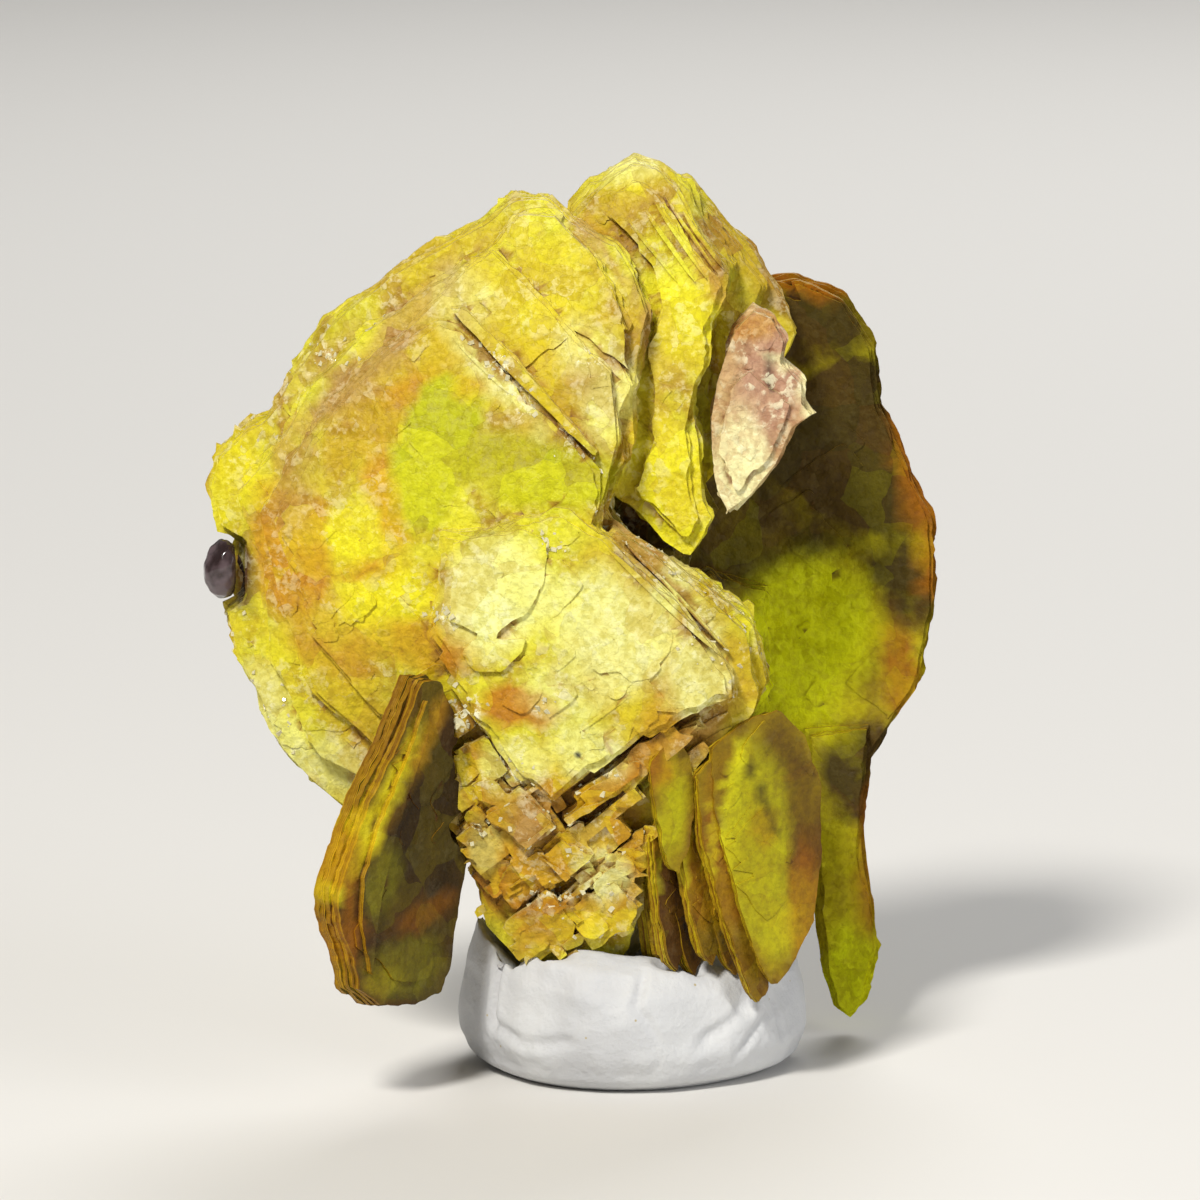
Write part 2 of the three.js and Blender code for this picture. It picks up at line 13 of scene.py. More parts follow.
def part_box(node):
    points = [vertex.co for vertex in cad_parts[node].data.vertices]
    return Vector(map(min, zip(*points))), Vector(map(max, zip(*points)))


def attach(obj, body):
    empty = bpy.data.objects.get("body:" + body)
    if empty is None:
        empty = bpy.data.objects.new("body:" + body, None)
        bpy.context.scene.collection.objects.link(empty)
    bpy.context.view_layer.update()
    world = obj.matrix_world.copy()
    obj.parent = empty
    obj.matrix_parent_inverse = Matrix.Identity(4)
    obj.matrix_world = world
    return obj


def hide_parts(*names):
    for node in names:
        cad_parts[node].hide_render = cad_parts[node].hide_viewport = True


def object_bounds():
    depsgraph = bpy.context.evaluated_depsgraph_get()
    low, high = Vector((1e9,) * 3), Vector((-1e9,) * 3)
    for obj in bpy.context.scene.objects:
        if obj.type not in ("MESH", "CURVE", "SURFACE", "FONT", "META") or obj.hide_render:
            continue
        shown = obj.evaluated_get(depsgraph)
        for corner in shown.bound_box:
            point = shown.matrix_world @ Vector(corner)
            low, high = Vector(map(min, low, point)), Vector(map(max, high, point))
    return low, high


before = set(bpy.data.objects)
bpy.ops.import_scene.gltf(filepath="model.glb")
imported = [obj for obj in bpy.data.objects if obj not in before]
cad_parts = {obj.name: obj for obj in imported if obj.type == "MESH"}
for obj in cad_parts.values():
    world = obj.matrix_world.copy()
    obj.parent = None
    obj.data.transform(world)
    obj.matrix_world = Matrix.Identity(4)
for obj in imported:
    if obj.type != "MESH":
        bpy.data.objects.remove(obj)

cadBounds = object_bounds()
mm = 0.001                      # everything is worked out in mm and stored in metres
weldGap = 2e-7                  # metres: the corners of a CAD solid that are one point
scene = bpy.context.scene
coarser = 1
began = time.time()

hashPrimes = (73856093, 19349663, 83492791)
hashSeed, hashMix, hashTop = 2654435, 1274126177, 0xFFFF
seedApart = 31.7                # how far apart two seeds look in the same noise


def softNoise(points, size, seed):          # smooth noise from -1 to 1 with lumps of this size in mm
    p = np.asarray(points, float) / size + seedApart * seed
    cell = np.floor(p).astype(np.int64)
    t = p - cell
    t = t * t * (3 - 2 * t)
    total = np.zeros(len(p))
    for corner in range(8):
        step = np.array([corner & 1, corner >> 1 & 1, corner >> 2 & 1])
        x, y, z = ((cell + step) * hashPrimes).T
        h = x ^ y ^ z ^ (seed * hashSeed)
        h = ((h ^ (h >> 13)) * hashMix) & 0x7FFFFFFF
        h = (h ^ (h >> 15)) & hashTop
        total += np.where(step, t, 1 - t).prod(1) * (h / (hashTop / 2) - 1)
    return total


def withThird(points, third):               # u, v points with the same third coordinate
    return np.column_stack([points, np.full(len(points), float(third))])


# A book is cut in leaves from its solid. Every leaf is torn at its edge, filled and stacked again.
tearNoise = (                   # name in a book's edge, lump in mm, change from leaf to leaf, seed
    ("wide", 1.5, 0.6, 11),
    ("middle", 0.5, 2.4, 12),
    ("fine", 0.2, 9, 13),
)
waveNoise = ((1, 2.6, 21), (0.45, 0.9, 22))             # share of a book's wave, lump in mm, seed
stacking = {                    # shares of a leaf's thickness, measured from the middle of the leaf
    "under": 0.62, "over": 0.5,             # a leaf bites into the one behind it
    "flakeRoot": 0.2, "flakeTop": 0.51,     # a part-leaf on the front face
    "backRoot": 0.63,                       # a part-leaf on the back face
    "sliverRoot": 0.3,
}
smallestLeaf = 0.12             # square mm
fewestPoints = 8                # in the outline of a leaf
shortestEdge, plateDepth = 0.012, 0.4       # mm
batch = 4000                    # points that are tested together
steps = {                       # small square steps along a torn edge
    "varies": (0.5, 1.7), "wander": 0.8, "wanderLump": 0.9,                     # the last in mm
    "patch": 0.5, "patchVaries": 1.6, "patchLump": 1.0,
}
partLeaf = {
    "turn": (-9, 9), "narrow": (0.35, 0.95), "cutMost": 0.55, "cutOften": 0.6,  # a tablet with cut corners
    "around": 24, "lobes": ((3, 0.18), (5, 0.1)),                               # a lobe: how many, how deep
    "edge": {"wide": 0.09, "middle": 0.06, "fine": 0.03, "shift": (0, 0)},      # it tears less than a leaf
    "spacing": 0.75, "clear": 0.6,          # shares of the book's spacing and of its grid
    "within": 0.6, "drawnIn": 0.5,          # how much lies on its leaf, and where the rest is drawn in to
    "flatter": 0.4, "ledgeTurn": (-15, 15), "ledgeRun": 1.5, "ledgeMean": 0.45,
}
sliver = {"step": 0.25, "bend": 0.05, "bendLump": 0.8, "tip": 0.15}             # mm, and the tip's share


def bookAxes(book):             # right, out of the broad face
    turn = math.radians(book["yaw"])
    return (np.array([math.cos(turn), math.sin(turn), 0]),
            np.array([math.sin(turn), -math.cos(turn), 0]))


def toBook(points, book):       # x, y, z to u, v and the height over the book's growth surface
    right, out = bookAxes(book)
    local = points - np.array([*book["at"], 0])
    u, v = local @ right, local[:, 2]
    return np.column_stack([u, v, local @ out - book["sheet"](u, v)])


def fromBook(points, book):
    right, out = bookAxes(book)
    u, v = points[:, 0], points[:, 1]
    height = points[:, 2] + book["sheet"](u, v)
    return np.array([*book["at"], 0]) + u[:, None] * right + height[:, None] * out \
        + v[:, None] * np.array([0, 0, 1])


def nodeArrays(node):           # a merged copy of a CAD solid as arrays in mm
    shape = bmesh.new()
    shape.from_mesh(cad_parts[node].data)
    bmesh.ops.remove_doubles(shape, verts=shape.verts, dist=weldGap)
    bmesh.ops.triangulate(shape, faces=shape.faces)
    points = np.array([v.co[:] for v in shape.verts]) / mm
    faces = np.array([[v.index for v in f.verts] for f in shape.faces])
    shape.free()
    return points, faces


def sliceLoops(points, faces, level):       # closed outlines of the solid at one height
    above = points[:, 2] > level
    hits = above[faces].sum(1)
    follow, place = {}, {}
    for face in faces[(hits == 1) | (hits == 2)]:
        ends = []
        for a, b in ((face[0], face[1]), (face[1], face[2]), (face[2], face[0])):
            if above[a] != above[b]:
                key = (min(a, b), max(a, b))
                share = (level - points[key[0], 2]) / (points[key[1], 2] - points[key[0], 2])
                place[key] = points[key[0], :2] + share * (points[key[1], :2] - points[key[0], :2])
                ends.append(key)
        normal = np.cross(points[face[1]] - points[face[0]], points[face[2]] - points[face[0]])
        step = place[ends[1]] - place[ends[0]]
        if -step[0] * normal[1] + step[1] * normal[0] < 0:
            ends.reverse()
        follow[ends[0]] = ends[1]
    loops = []
    while follow:
        start, key = follow.popitem()
        loop = [start]
        while key != start and key in follow:
            loop.append(key)
            key = follow.pop(key)
        loops.append(np.array([place[k] for k in loop]))
    return loops


def areaOf(loop):
    a, b = loop, np.roll(loop, -1, 0)
    return 0.5 * (a[:, 0] * b[:, 1] - a[:, 1] * b[:, 0]).sum()


def evenly(loop, spacing):      # the same closed line with points at even steps
    closed = np.vstack([loop, loop[:1]])
    run = np.concatenate([[0], np.cumsum(np.linalg.norm(np.diff(closed, axis=0), axis=1))])
    count = max(fewestPoints, int(run[-1] / spacing))
    at = np.linspace(0, run[-1], count, endpoint=False)
    return np.column_stack([np.interp(at, run, closed[:, i]) for i in (0, 1)])


def outward(loop):
    along = np.roll(loop, -1, 0) - np.roll(loop, 1, 0)
    along /= np.maximum(np.linalg.norm(along, axis=1), 1e-9)[:, None]
    return np.column_stack([along[:, 1], -along[:, 0]])


def crosses(loop):              # does the line cross itself
    a, b = loop, np.roll(loop, -1, 0)
    d = b - a

    def turn(p, q):             # side of every line p on which point q lies
        return d[:, None, 0] * (q[None, :, 1] - p[:, None, 1]) \
            - d[:, None, 1] * (q[None, :, 0] - p[:, None, 0])

    one, two = turn(a, a), turn(a, b)
    apart = one * two < 0
    hit = apart & apart.T
    size = len(loop)
    i = np.arange(size)
    hit[i, i] = hit[i, (i + 1) % size] = hit[(i + 1) % size, i] = False
    return hit.any()


def ragged(loop, level, book, rng):         # a torn, stepped edge, calmer until it can be filled
    look = book["edge"]
    turn = math.radians(book["cleavage"])
    axes = np.array([[math.cos(turn), math.sin(turn)], [-math.sin(turn), math.cos(turn)]])
    for calm in (1, 0.5, 0.25, 0):
        push = 0
        for label, size, change, seed in tearNoise:
            push = push + look[label] * softNoise(withThird(loop, level * change), size, seed)
        push += rng.uniform(*look["shift"])
        torn = loop + outward(loop) * (calm * push)[:, None]
        # cleavage runs both ways across the leaf, so the edge climbs in small square steps
        local = torn @ axes.T
        step = look["step"] * rng.uniform(*steps["varies"])
        wander = steps["wander"] * softNoise(withThird(loop, level), steps["wanderLump"], 14)[:, None]
        snapped = np.round(local / step + wander) * step
        patchy = softNoise(withThird(loop, 3 * level), steps["patchLump"], 15)
        where = np.clip(steps["patch"] + steps["patchVaries"] * patchy, 0, 1)
        torn = (local + (calm * look["stepped"] * where)[:, None] * (snapped - local)) @ axes
        torn = torn[np.linalg.norm(torn - np.roll(torn, 1, 0), axis=1) > shortestEdge]
        if len(torn) >= fewestPoints and not crosses(torn) and coverOf(torn, []):
            return torn
    return loop


def insideOf(points, loop):     # which points lie inside a closed line
    result = np.zeros(len(points), bool)
    near = np.flatnonzero(((points > loop.min(0)) & (points < loop.max(0))).all(1))
    a, b = loop, np.roll(loop, -1, 0)
    for start in range(0, len(near), batch):
        chosen = near[start:start + batch]
        p = points[chosen]
        spans = (a[None, :, 1] > p[:, None, 1]) != (b[None, :, 1] > p[:, None, 1])
        with np.errstate(divide="ignore", invalid="ignore"):
            x = a[None, :, 0] + (p[:, None, 1] - a[None, :, 1]) * (b - a)[None, :, 0] / (b - a)[None, :, 1]
        result[chosen] = (spans & (p[:, None, 0] < x)).sum(1) % 2 == 1
    return result


def farFrom(points, loop, distance):        # which points lie at least this far from a line's corners
    result = np.ones(len(points), bool)
    for start in range(0, len(points), batch):
        p = points[start:start + batch]
        gap = ((p[:, None] - loop[None]) ** 2).sum(2).min(1)
        result[start:start + batch] = gap > distance * distance
    return result


def coverOf(loop, inner):       # triangles that fill a closed line, using the inner points
    points = np.vstack([loop, inner]) if len(inner) else loop
    size = len(loop)
    tolerance = 1e-6
    found = delaunay_2d_cdt([Vector(p) for p in points], [], [list(range(size))], 1, tolerance, True)
    places, origin = found[0], found[3]
    faces = [face for face, owner in zip(found[2], found[5]) if owner]
    if not faces or len(places) > len(points) or any(len(o) != 1 for o in origin):
        return None
    order = [o[0] for o in origin]
    faces = np.array([[order[i] for i in f] for f in faces])
    a, b, c = (points[faces[:, i]] for i in range(3))
    flip = (b[:, 0] - a[:, 0]) * (c[:, 1] - a[:, 1]) - (b[:, 1] - a[:, 1]) * (c[:, 0] - a[:, 0]) < 0
    faces[flip] = faces[flip][:, ::-1]
    if not len(inner) and len(faces) != size - 2:
        return None
    return points, faces


def isClosed(faces, count):     # every edge is walked once each way
    one = np.concatenate([faces[:, 0], faces[:, 1], faces[:, 2]]).astype(np.int64)
    two = np.concatenate([faces[:, 1], faces[:, 2], faces[:, 0]]).astype(np.int64)
    there, back = np.sort(one * count + two), np.sort(two * count + one)
    return (np.diff(there) > 0).all() and (there == back).all()


def leafMesh(loop, low, high, innerLow, innerHigh, book, lift=None):        # one closed leaf, or None
    top, bottom = coverOf(loop, innerHigh), coverOf(loop, innerLow)
    if top is None or bottom is None:
        return None
    size = len(loop)
    topPoints, topFaces = top
    bottomPoints, bottomFaces = bottom

    def raised(points, level):
        flat = withThird(points, level * 0.4)
        height = level
        for share, size, seed in waveNoise:
            height = height + share * book["wave"] * softNoise(flat, size, seed)
        return height

    up = raised(topPoints, high)
    down = raised(bottomPoints, low)
    if lift:
        up += np.maximum(lift(topPoints), 0)
        down += np.minimum(lift(bottomPoints), 0)
    points = np.vstack([np.column_stack([topPoints, up]), np.column_stack([bottomPoints, down])])
    behind = len(topPoints)
    ring = np.arange(size)
    after = (ring + 1) % size
    faces = np.vstack([
        topFaces,
        bottomFaces[:, ::-1] + behind,
        np.column_stack([ring, ring + behind, after + behind]),
        np.column_stack([ring, after + behind, after]),
    ])
    if not isClosed(faces, len(points)):
        return None
    mesh = bpy.data.meshes.new("leaf")
    mesh.from_pydata(fromBook(points, book).tolist(), [], faces.tolist())
    return bpy.data.objects.new("leaf", mesh)


def flakeLoop(middle, long, rng, book):     # a small part-leaf: a tablet along the cleavage, or a lobe
    turn = math.radians(book["cleavage"] + rng.uniform(*partLeaf["turn"]))
    wide = long * rng.uniform(*partLeaf["narrow"])
    if rng.random() < book["flake"]["angular"]:
        cut = [rng.uniform(0, partLeaf["cutMost"]) * (rng.random() < partLeaf["cutOften"]) for _ in range(4)]
        corners = []
        for (sx, sy), share in zip(((-1, -1), (1, -1), (1, 1), (-1, 1)), cut):
            first, second = (sx, sy * (1 - share)), (sx * (1 - share), sy)
            corners += [first, second] if sx == sy else [second, first]
        shape = np.array(list(dict.fromkeys(corners)))
    else:
        around = np.linspace(0, 2 * math.pi, partLeaf["around"], endpoint=False)
        reach = 1
        for lobes, depth in partLeaf["lobes"]:
            reach = reach + depth * np.sin(lobes * around + rng.uniform(0, 6))
        shape = np.column_stack([np.cos(around), np.sin(around)]) * reach[:, None]
    x, y = (shape * (long, wide) if rng.random() < 0.5 else shape * (wide, long)).T
    loop = np.column_stack([middle[0] + x * math.cos(turn) - y * math.sin(turn),
                            middle[1] + x * math.sin(turn) + y * math.cos(turn)])
    calmBook = {**book, "edge": {**book["edge"], **partLeaf["edge"]}}
    return ragged(evenly(loop, partLeaf["spacing"] * book["spacing"]), rng.uniform(0, 9), calmBook, rng)


def flakesOn(exposed, loop, level, side, thick, mesh, book, rng):   # side 1 is the front, -1 the back
    look = book["flake"]
    places = mesh[exposed]
    wanted = len(places) * book["grid"] ** 2 * look["perSquare"] * 1
    count = int(wanted) + (rng.random() < wanted % 1)
    found = []
    for _ in range(count):
        middle = places[rng.randrange(len(places))]
        long = look["long"][0] + (look["long"][1] - look["long"][0]) * rng.random() ** 2
        outline = flakeLoop(middle, long, rng, book)
        kept = insideOf(outline, loop)
        if kept.mean() < partLeaf["within"]:
            continue
        outline[~kept] = middle + partLeaf["drawnIn"] * (outline[~kept] - middle)
        if crosses(outline) or not insideOf(outline, loop).all():
            continue
        inner = mesh[insideOf(mesh, outline)]
        inner = inner[farFrom(inner, outline, partLeaf["clear"] * book["grid"])]
        rise = rng.uniform(*look["rise"]) * min(1, partLeaf["flatter"] + long)
        turn = math.radians(book["cleavage"] + 45 * rng.randrange(8) + rng.uniform(*partLeaf["ledgeTurn"]))
        way = np.array([math.cos(turn), math.sin(turn)]) / (partLeaf["ledgeRun"] * long)

        def lift(points):       # one side stands up as a ledge, the other dips under
            return side * rise * np.clip(partLeaf["ledgeMean"] + (points - middle) @ way, 0, 1)

        low = level - stacking["flakeRoot" if side > 0 else "backRoot"] * thick
        high = level + (stacking["flakeTop"] if side > 0 else 0) * thick
        leaf = leafMesh(outline, low, high, inner, inner, book, lift)
        if leaf:
            found.append(leaf)
    return found


def sliverOn(row, level, thick, book):  # a long thin leaf left standing on the face
    u0, v0, u1, v1, wide, rise = row
    along = np.array([u1 - u0, v1 - v0])
    long = np.linalg.norm(along)
    across = np.array([-along[1], along[0]]) / long
    share = np.linspace(0, 1, max(6, int(long / sliver["step"])))
    place = np.column_stack([share * long, 0 * share, 0 * share + u0])
    bend = sliver["bend"] * softNoise(place, sliver["bendLump"], 16)
    rounded = np.sqrt(np.clip(4 * share * (1 - share), 0, 1))
    half = 0.5 * wide * (sliver["tip"] + (1 - sliver["tip"]) * rounded)
    line = np.array([u0, v0]) + share[:, None] * along + bend[:, None] * across
    loop = np.vstack([line - half[:, None] * across, (line + half[:, None] * across)[::-1]])
    low = level - stacking["sliverRoot"] * thick
    return leafMesh(loop, low, level + stacking["over"] * thick + rise, [], [], book)


def stackOf(points, faces, book):       # every leaf of one book, as separate closed objects
    points = toBook(points, book)
    rng = random.Random(book["seed"])
    low, high = points[:, 2].min(), points[:, 2].max()
    count = max(2, round((high - low) / book["leaf"]))
    thick = (high - low) / count
    levels = [low + (i + 0.5) * thick for i in range(count)]
    spacing, grid = book["spacing"] * coarser, book["grid"] * coarser
    every = 5                               # a covered part of a leaf keeps only each fifth point
    near, wider = 0.7 * grid, 2.5 * grid    # how far the inner points keep from the edge
    asides = (0, 0.03, -0.03)               # mm: where two plates just meet, the cut is made a little aside
    corner, far = points[:, :2].min(0) - 1, points[:, :2].max(0) + 1
    gu, gv = np.meshgrid(np.arange(corner[0], far[0], grid), np.arange(corner[1], far[1], grid))
    gv = gv + (np.arange(gu.shape[1]) % 2)[None, :] * grid / 2
    mesh = np.column_stack([gu.ravel(), gv.ravel()])
    rows, columns = (np.arange(size) % every == 0 for size in gu.shape)
    coarse = (rows[:, None] & columns[None]).ravel()
    nothing = np.zeros(len(mesh), bool)
    outlines, calm, insides, covered = [], [], [], []
    for level in levels:
        for aside in asides:
            plain = [evenly(loop, spacing) for loop in sliceLoops(points, faces, level + aside)
                     if areaOf(loop) > smallestLeaf]
            if not any(crosses(loop) for loop in plain):
                break
        loops = [ragged(loop, level, book, rng) for loop in plain]
        inside = [insideOf(mesh, loop) for loop in loops]
        calm.append(plain)
        outlines.append(loops)
        insides.append(inside)
        covered.append(np.logical_or.reduce(inside) if inside else nothing)
    leaves = []
    for i, level in enumerate(levels):
        over = covered[i + 1] if i + 1 < count else nothing
        under = covered[i - 1] if i else nothing
        for loop, plain, inside in zip(outlines[i], calm[i], insides[i]):
            for edge, space in ((loop, near), (plain, near), (plain, wider)):       # until it can be filled
                here = inside.copy()
                here[inside] = farFrom(mesh[inside], edge, space) & insideOf(mesh[inside], edge)
                leaf = leafMesh(edge, level - stacking["under"] * thick, level + stacking["over"] * thick,
                                mesh[here & (~under | coarse)], mesh[here & (~over | coarse)], book)
                if leaf:
                    break
            else:
                print("  a leaf of", round(areaOf(loop), 2), "square mm is left out")
                continue
            leaves.append(leaf)
            leaves += flakesOn(inside & ~over, loop, level, 1, thick, mesh, book, rng)
            leaves += flakesOn(inside & ~under, loop, level, -1, thick, mesh, book, rng)

    def highest(u, v):          # the height of the face at this place
        reached = [level for level, loops in zip(levels, outlines)
                   if any(insideOf(np.array([[u, v]]), loop)[0] for loop in loops)]
        return reached[-1] if reached else low

    for row in book.get("slivers", []):
        leaves.append(sliverOn(row, highest((row[0] + row[2]) / 2, (row[1] + row[3]) / 2), thick, book))
    for row in book.get("plates", []):          # single leaves on the face, or deep in a gap to close it
        loop = ragged(evenly(np.array(row["outline"]), spacing), row["rise"], book, rng)
        top = row["level"] if "level" in row else highest(*loop.mean(0)) + stacking["over"] * thick
        inside = insideOf(mesh, loop)
        here = inside & farFrom(mesh, loop, near)
        leaves.append(leafMesh(loop, top - plateDepth, top + row["rise"], mesh[here], mesh[here], book))
        if "flake" in row:      # packed with small tablets
            leaves += flakesOn(inside, loop, top - 0.5 * thick, 1, thick, mesh, {**book, **row}, rng)
    return [leaf for leaf in leaves if leaf]


def fused(name, parts):         # joins closed objects to one skin of triangles
    others = bpy.data.collections.new(name + "_leaves")
    scene.collection.children.link(others)
    base, rest = parts[0], parts[1:]
    scene.collection.objects.link(base)
    for part in rest:
        others.objects.link(part)
    join = base.modifiers.new("join", "BOOLEAN")
    join.solver = "MANIFOLD"
    join.operation = "UNION"
    join.operand_type = "COLLECTION"
    join.collection = others
    whole = bpy.data.meshes.new_from_object(base.evaluated_get(bpy.context.evaluated_depsgraph_get()))
    for part in parts:
        data = part.data
        bpy.data.objects.remove(part)
        bpy.data.meshes.remove(data)
    bpy.data.collections.remove(others)
    whole.name = name
    shape = bmesh.new()
    shape.from_mesh(whole)
    bmesh.ops.triangulate(shape, faces=shape.faces)
    shape.to_mesh(whole)
    shape.free()
    return whole


def bladeLoop(row):             # outline of one pointed blade of the fan
    top, tip, width, lean = row["top"], row["tip"], row["width"], row["lean"]
    reach = top - tip
    return np.array([
        (0, top - 0.12 * reach), (0.05, top - 0.35 * reach), (0.3 * lean, top - 0.55 * reach),
        (0.7 * lean, top - 0.8 * reach), (lean, tip + 0.05 * reach), (lean + 0.3, tip),
        (lean + 0.25 * width, tip + 0.05 * reach), (0.85 * width, tip + 0.2 * reach),
        (0.97 * width, tip + 0.42 * reach), (width, top - 0.3 * reach), (0.85 * width, top - 0.1 * reach),
        (0.6 * width, top), (0.35 * width, top - 0.02 * reach),
    ])


def bladeSolid(row):            # a blade as a plain prism, to be cut in leaves as the others are
    loop = bladeLoop(row)
    half = row["thick"] / 2
    size = len(loop)
    middle = loop.mean(0)
    points = np.vstack([
        withThird(loop, half), withThird(middle + 0.97 * (loop - middle), -half),
        [[*middle, half]], [[*middle, -half]],
    ])
    ring = np.arange(size)
    after = (ring + 1) % size
    faces = np.vstack([
        np.column_stack([ring, after, np.full(size, 2 * size)]),
        np.column_stack([after + size, ring + size, np.full(size, 2 * size + 1)]),
        np.column_stack([ring, ring + size, after + size]),
        np.column_stack([ring, after + size, after]),
    ])
    return points, faces


# the colour zones in the order in which they cover each other, and last where the chips lie and glints are
# painted white
# dark is painted shade in gaps, notches and cracks
zoneNames = ["ochre", "tan", "bright", "window", "rust", "cream", "dark", "sparkle"]


def setFloats(mesh, name, values, domain="POINT"):
    layer = mesh.attributes.new(name, "FLOAT", domain)
    layer.data.foreach_set("value", np.ascontiguousarray(values, dtype=np.float32))


def patches(points, rows, seed):            # soft patches: middle u, v, half sizes, turn, weight, top height
    result = np.zeros(len(points))
    wander, outer, rim, topRim = 0.22, 1.25, 0.5, 0.2
    flat = withThird(points[:, :2], 0.3 * seed)
    wobble = wander * (softNoise(flat, 1.3, seed) + 0.6 * softNoise(flat, 0.5, seed + 1))
    for u, v, long, wide, turn, weight, *top in rows:
        c, s = math.cos(math.radians(turn)), math.sin(math.radians(turn))
        du, dv = points[:, 0] - u, points[:, 1] - v
        reach = np.hypot((du * c + dv * s) / long, (dv * c - du * s) / wide) + wobble
        fade = np.clip((outer - reach) / rim, 0, 1)
        if top:
            fade = fade * np.clip((top[0] - points[:, 2]) / topRim, 0, 1)
        result = np.maximum(result, weight * fade * fade * (3 - 2 * fade))
    return result


def meshFloats(mesh, name, width=3):        # a vertex property as rows of numbers
    values = np.empty(len(mesh.vertices) * width)
    mesh.vertices.foreach_get(name, values)
    return values.reshape(-1, width)


def hollowness(mesh, reach=0.9):            # 0 in the open, towards 1 deep in a cleft, for a mesh in mm
    points, normals = meshFloats(mesh, "co"), meshFloats(mesh, "normal")
    count = len(points)
    tree = BVHTree.FromPolygons(points.tolist(), [p.vertices[:] for p in mesh.polygons])
    rng = np.random.default_rng(5)
    hits = np.zeros(count)
    rays = 7
    lift, outwards = 0.02, 1.05             # mm off the skin, and how far each ray is turned away from it
    fall, gain = 0.5, 1.25                  # what is lost with distance, and how fast a cleft counts as full
    for _ in range(rays):
        way = rng.normal(size=(count, 3))
        way /= np.linalg.norm(way, axis=1)[:, None]
        way += outwards * normals
        starts = points + lift * normals
        for i, (start, to) in enumerate(zip(starts.tolist(), way.tolist())):
            distance = tree.ray_cast(start, to, reach)[3]
            if distance is not None:
                hits[i] += 1 - fall * distance / reach
    return np.clip(gain * hits / rays, 0, 1)


zoneSeed, zoneSeedStep = 40, 3
sideBegins, sideRun = 0.85, 0.35            # of how squarely a face looks out of the book


def markCrystal(mesh, book):                # the masks that crystalMaterial reads, for a mesh in mm
    local = toBook(meshFloats(mesh, "co"), book)
    setFloats(mesh, "leafHeight", local[:, 2])
    for number, zone in enumerate(zoneNames):
        seed = zoneSeed + zoneSeedStep * number
        setFloats(mesh, zone, patches(local, book["zones"].get(zone, []), seed))
    setFloats(mesh, "hollow", hollowness(mesh))
    normals = np.empty(len(mesh.polygons) * 3)
    mesh.polygons.foreach_get("normal", normals)
    square = np.abs(normals.reshape(-1, 3) @ bookAxes(book)[1])
    setFloats(mesh, "tornSide", np.clip((sideBegins - square) / sideRun, 0, 1), "FACE")


def joinedMeshes(name, meshes):             # several marked meshes as one
    points, faces, start = [], [], 0
    for mesh in meshes:
        points.append(meshFloats(mesh, "co"))
        faces += [[i + start for i in p.vertices] for p in mesh.polygons]
        start += len(mesh.vertices)
    whole = bpy.data.meshes.new(name)
    whole.from_pydata(np.vstack(points).tolist(), [], faces)
    for label in ["leafHeight", "hollow", "tornSide"] + zoneNames:
        parts = []
        for mesh in meshes:
            values = np.empty(len(mesh.attributes[label].data), np.float32)
            mesh.attributes[label].data.foreach_get("value", values)
            parts.append(values)
        setFloats(whole, label, np.concatenate(parts), "FACE" if label == "tornSide" else "POINT")
    return whole


def finishedPiece(name, mesh, node, material, smooth=False):      # takes a mesh in mm
    mesh.transform(Matrix.Scale(mm, 4))
    mesh.materials.clear()
    mesh.materials.append(material)
    mesh.polygons.foreach_set("use_smooth", [smooth] * len(mesh.polygons))
    mesh.update()
    piece = bpy.data.objects.new(name, mesh)
    scene.collection.objects.link(piece)
    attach(piece, "root")
    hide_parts(node)
    print("%s: %d triangles, %.0f s" % (name, len(mesh.polygons), time.time() - began))
    return piece


def bookPiece(name, node, book, material):
    points, faces = nodeArrays(node)
    leaves = stackOf(points, faces, book)
    print("  %s: %d leaves" % (node, len(leaves)))
    mesh = fused(name, leaves)
    markCrystal(mesh, book)
    return finishedPiece(name, mesh, node, material)


groupY = -1.0                   # the crystal group stands a little forward of the foot's middle
leftLow, fanLow = (np.array(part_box(node)[0]) / mm for node in ("left_blade", "blade_fan"))

# growth surfaces in mm: where each is furthest out or in, and twice its radii across and upright
dome = {"v": 11, "across": 54, "upright": 70}
sideTurn = {"u": 3.6, "slope": 0.05}
dish = {"u": 4, "v": 13, "depth": -7, "across": 32, "upright": 70}
leftArch = {"u": 2.6, "across": 40}


def domeSheet(u, v):            # shared by the front, upper and side crystals
    return -u ** 2 / dome["across"] - (v - dome["v"]) ** 2 / dome["upright"]


def sideSheet(u, v):            # the dome, turned a little outwards
    return domeSheet(u, v) + sideTurn["slope"] * (u - sideTurn["u"])


def rearDish(u, v):
    return dish["depth"] + (u - dish["u"]) ** 2 / dish["across"] + (v - dish["v"]) ** 2 / dish["upright"]


def leftSheet(u, v):
    return -(u - leftArch["u"]) ** 2 / leftArch["across"]


def linear(hexColour):          # sRGB hex to linear RGBA
    parts = [int(hexColour[i:i + 2], 16) / 255 for i in (1, 3, 5)]
    return [c / 12.92 if c <= 0.04045 else ((c + 0.055) / 1.055) ** 2.4 for c in parts] + [1]


def addNode(tree, kind, inputs=None, out=0, **settings):    # an input is a socket, a hex colour or a value
    node = tree.nodes.new(kind)
    for name, value in settings.items():
        setattr(node, name, value)
    for key, value in (inputs or {}).items():
        if isinstance(value, bpy.types.NodeSocket):
            tree.links.new(value, node.inputs[key])
        else:
            node.inputs[key].default_value = linear(value) if str(value).startswith("#") else value
    return node.outputs[out] if node.outputs else node


def newMaterial(name):
    material = bpy.data.materials.new(name)
    material.use_nodes = True
    material.node_tree.nodes.clear()
    return material, material.node_tree


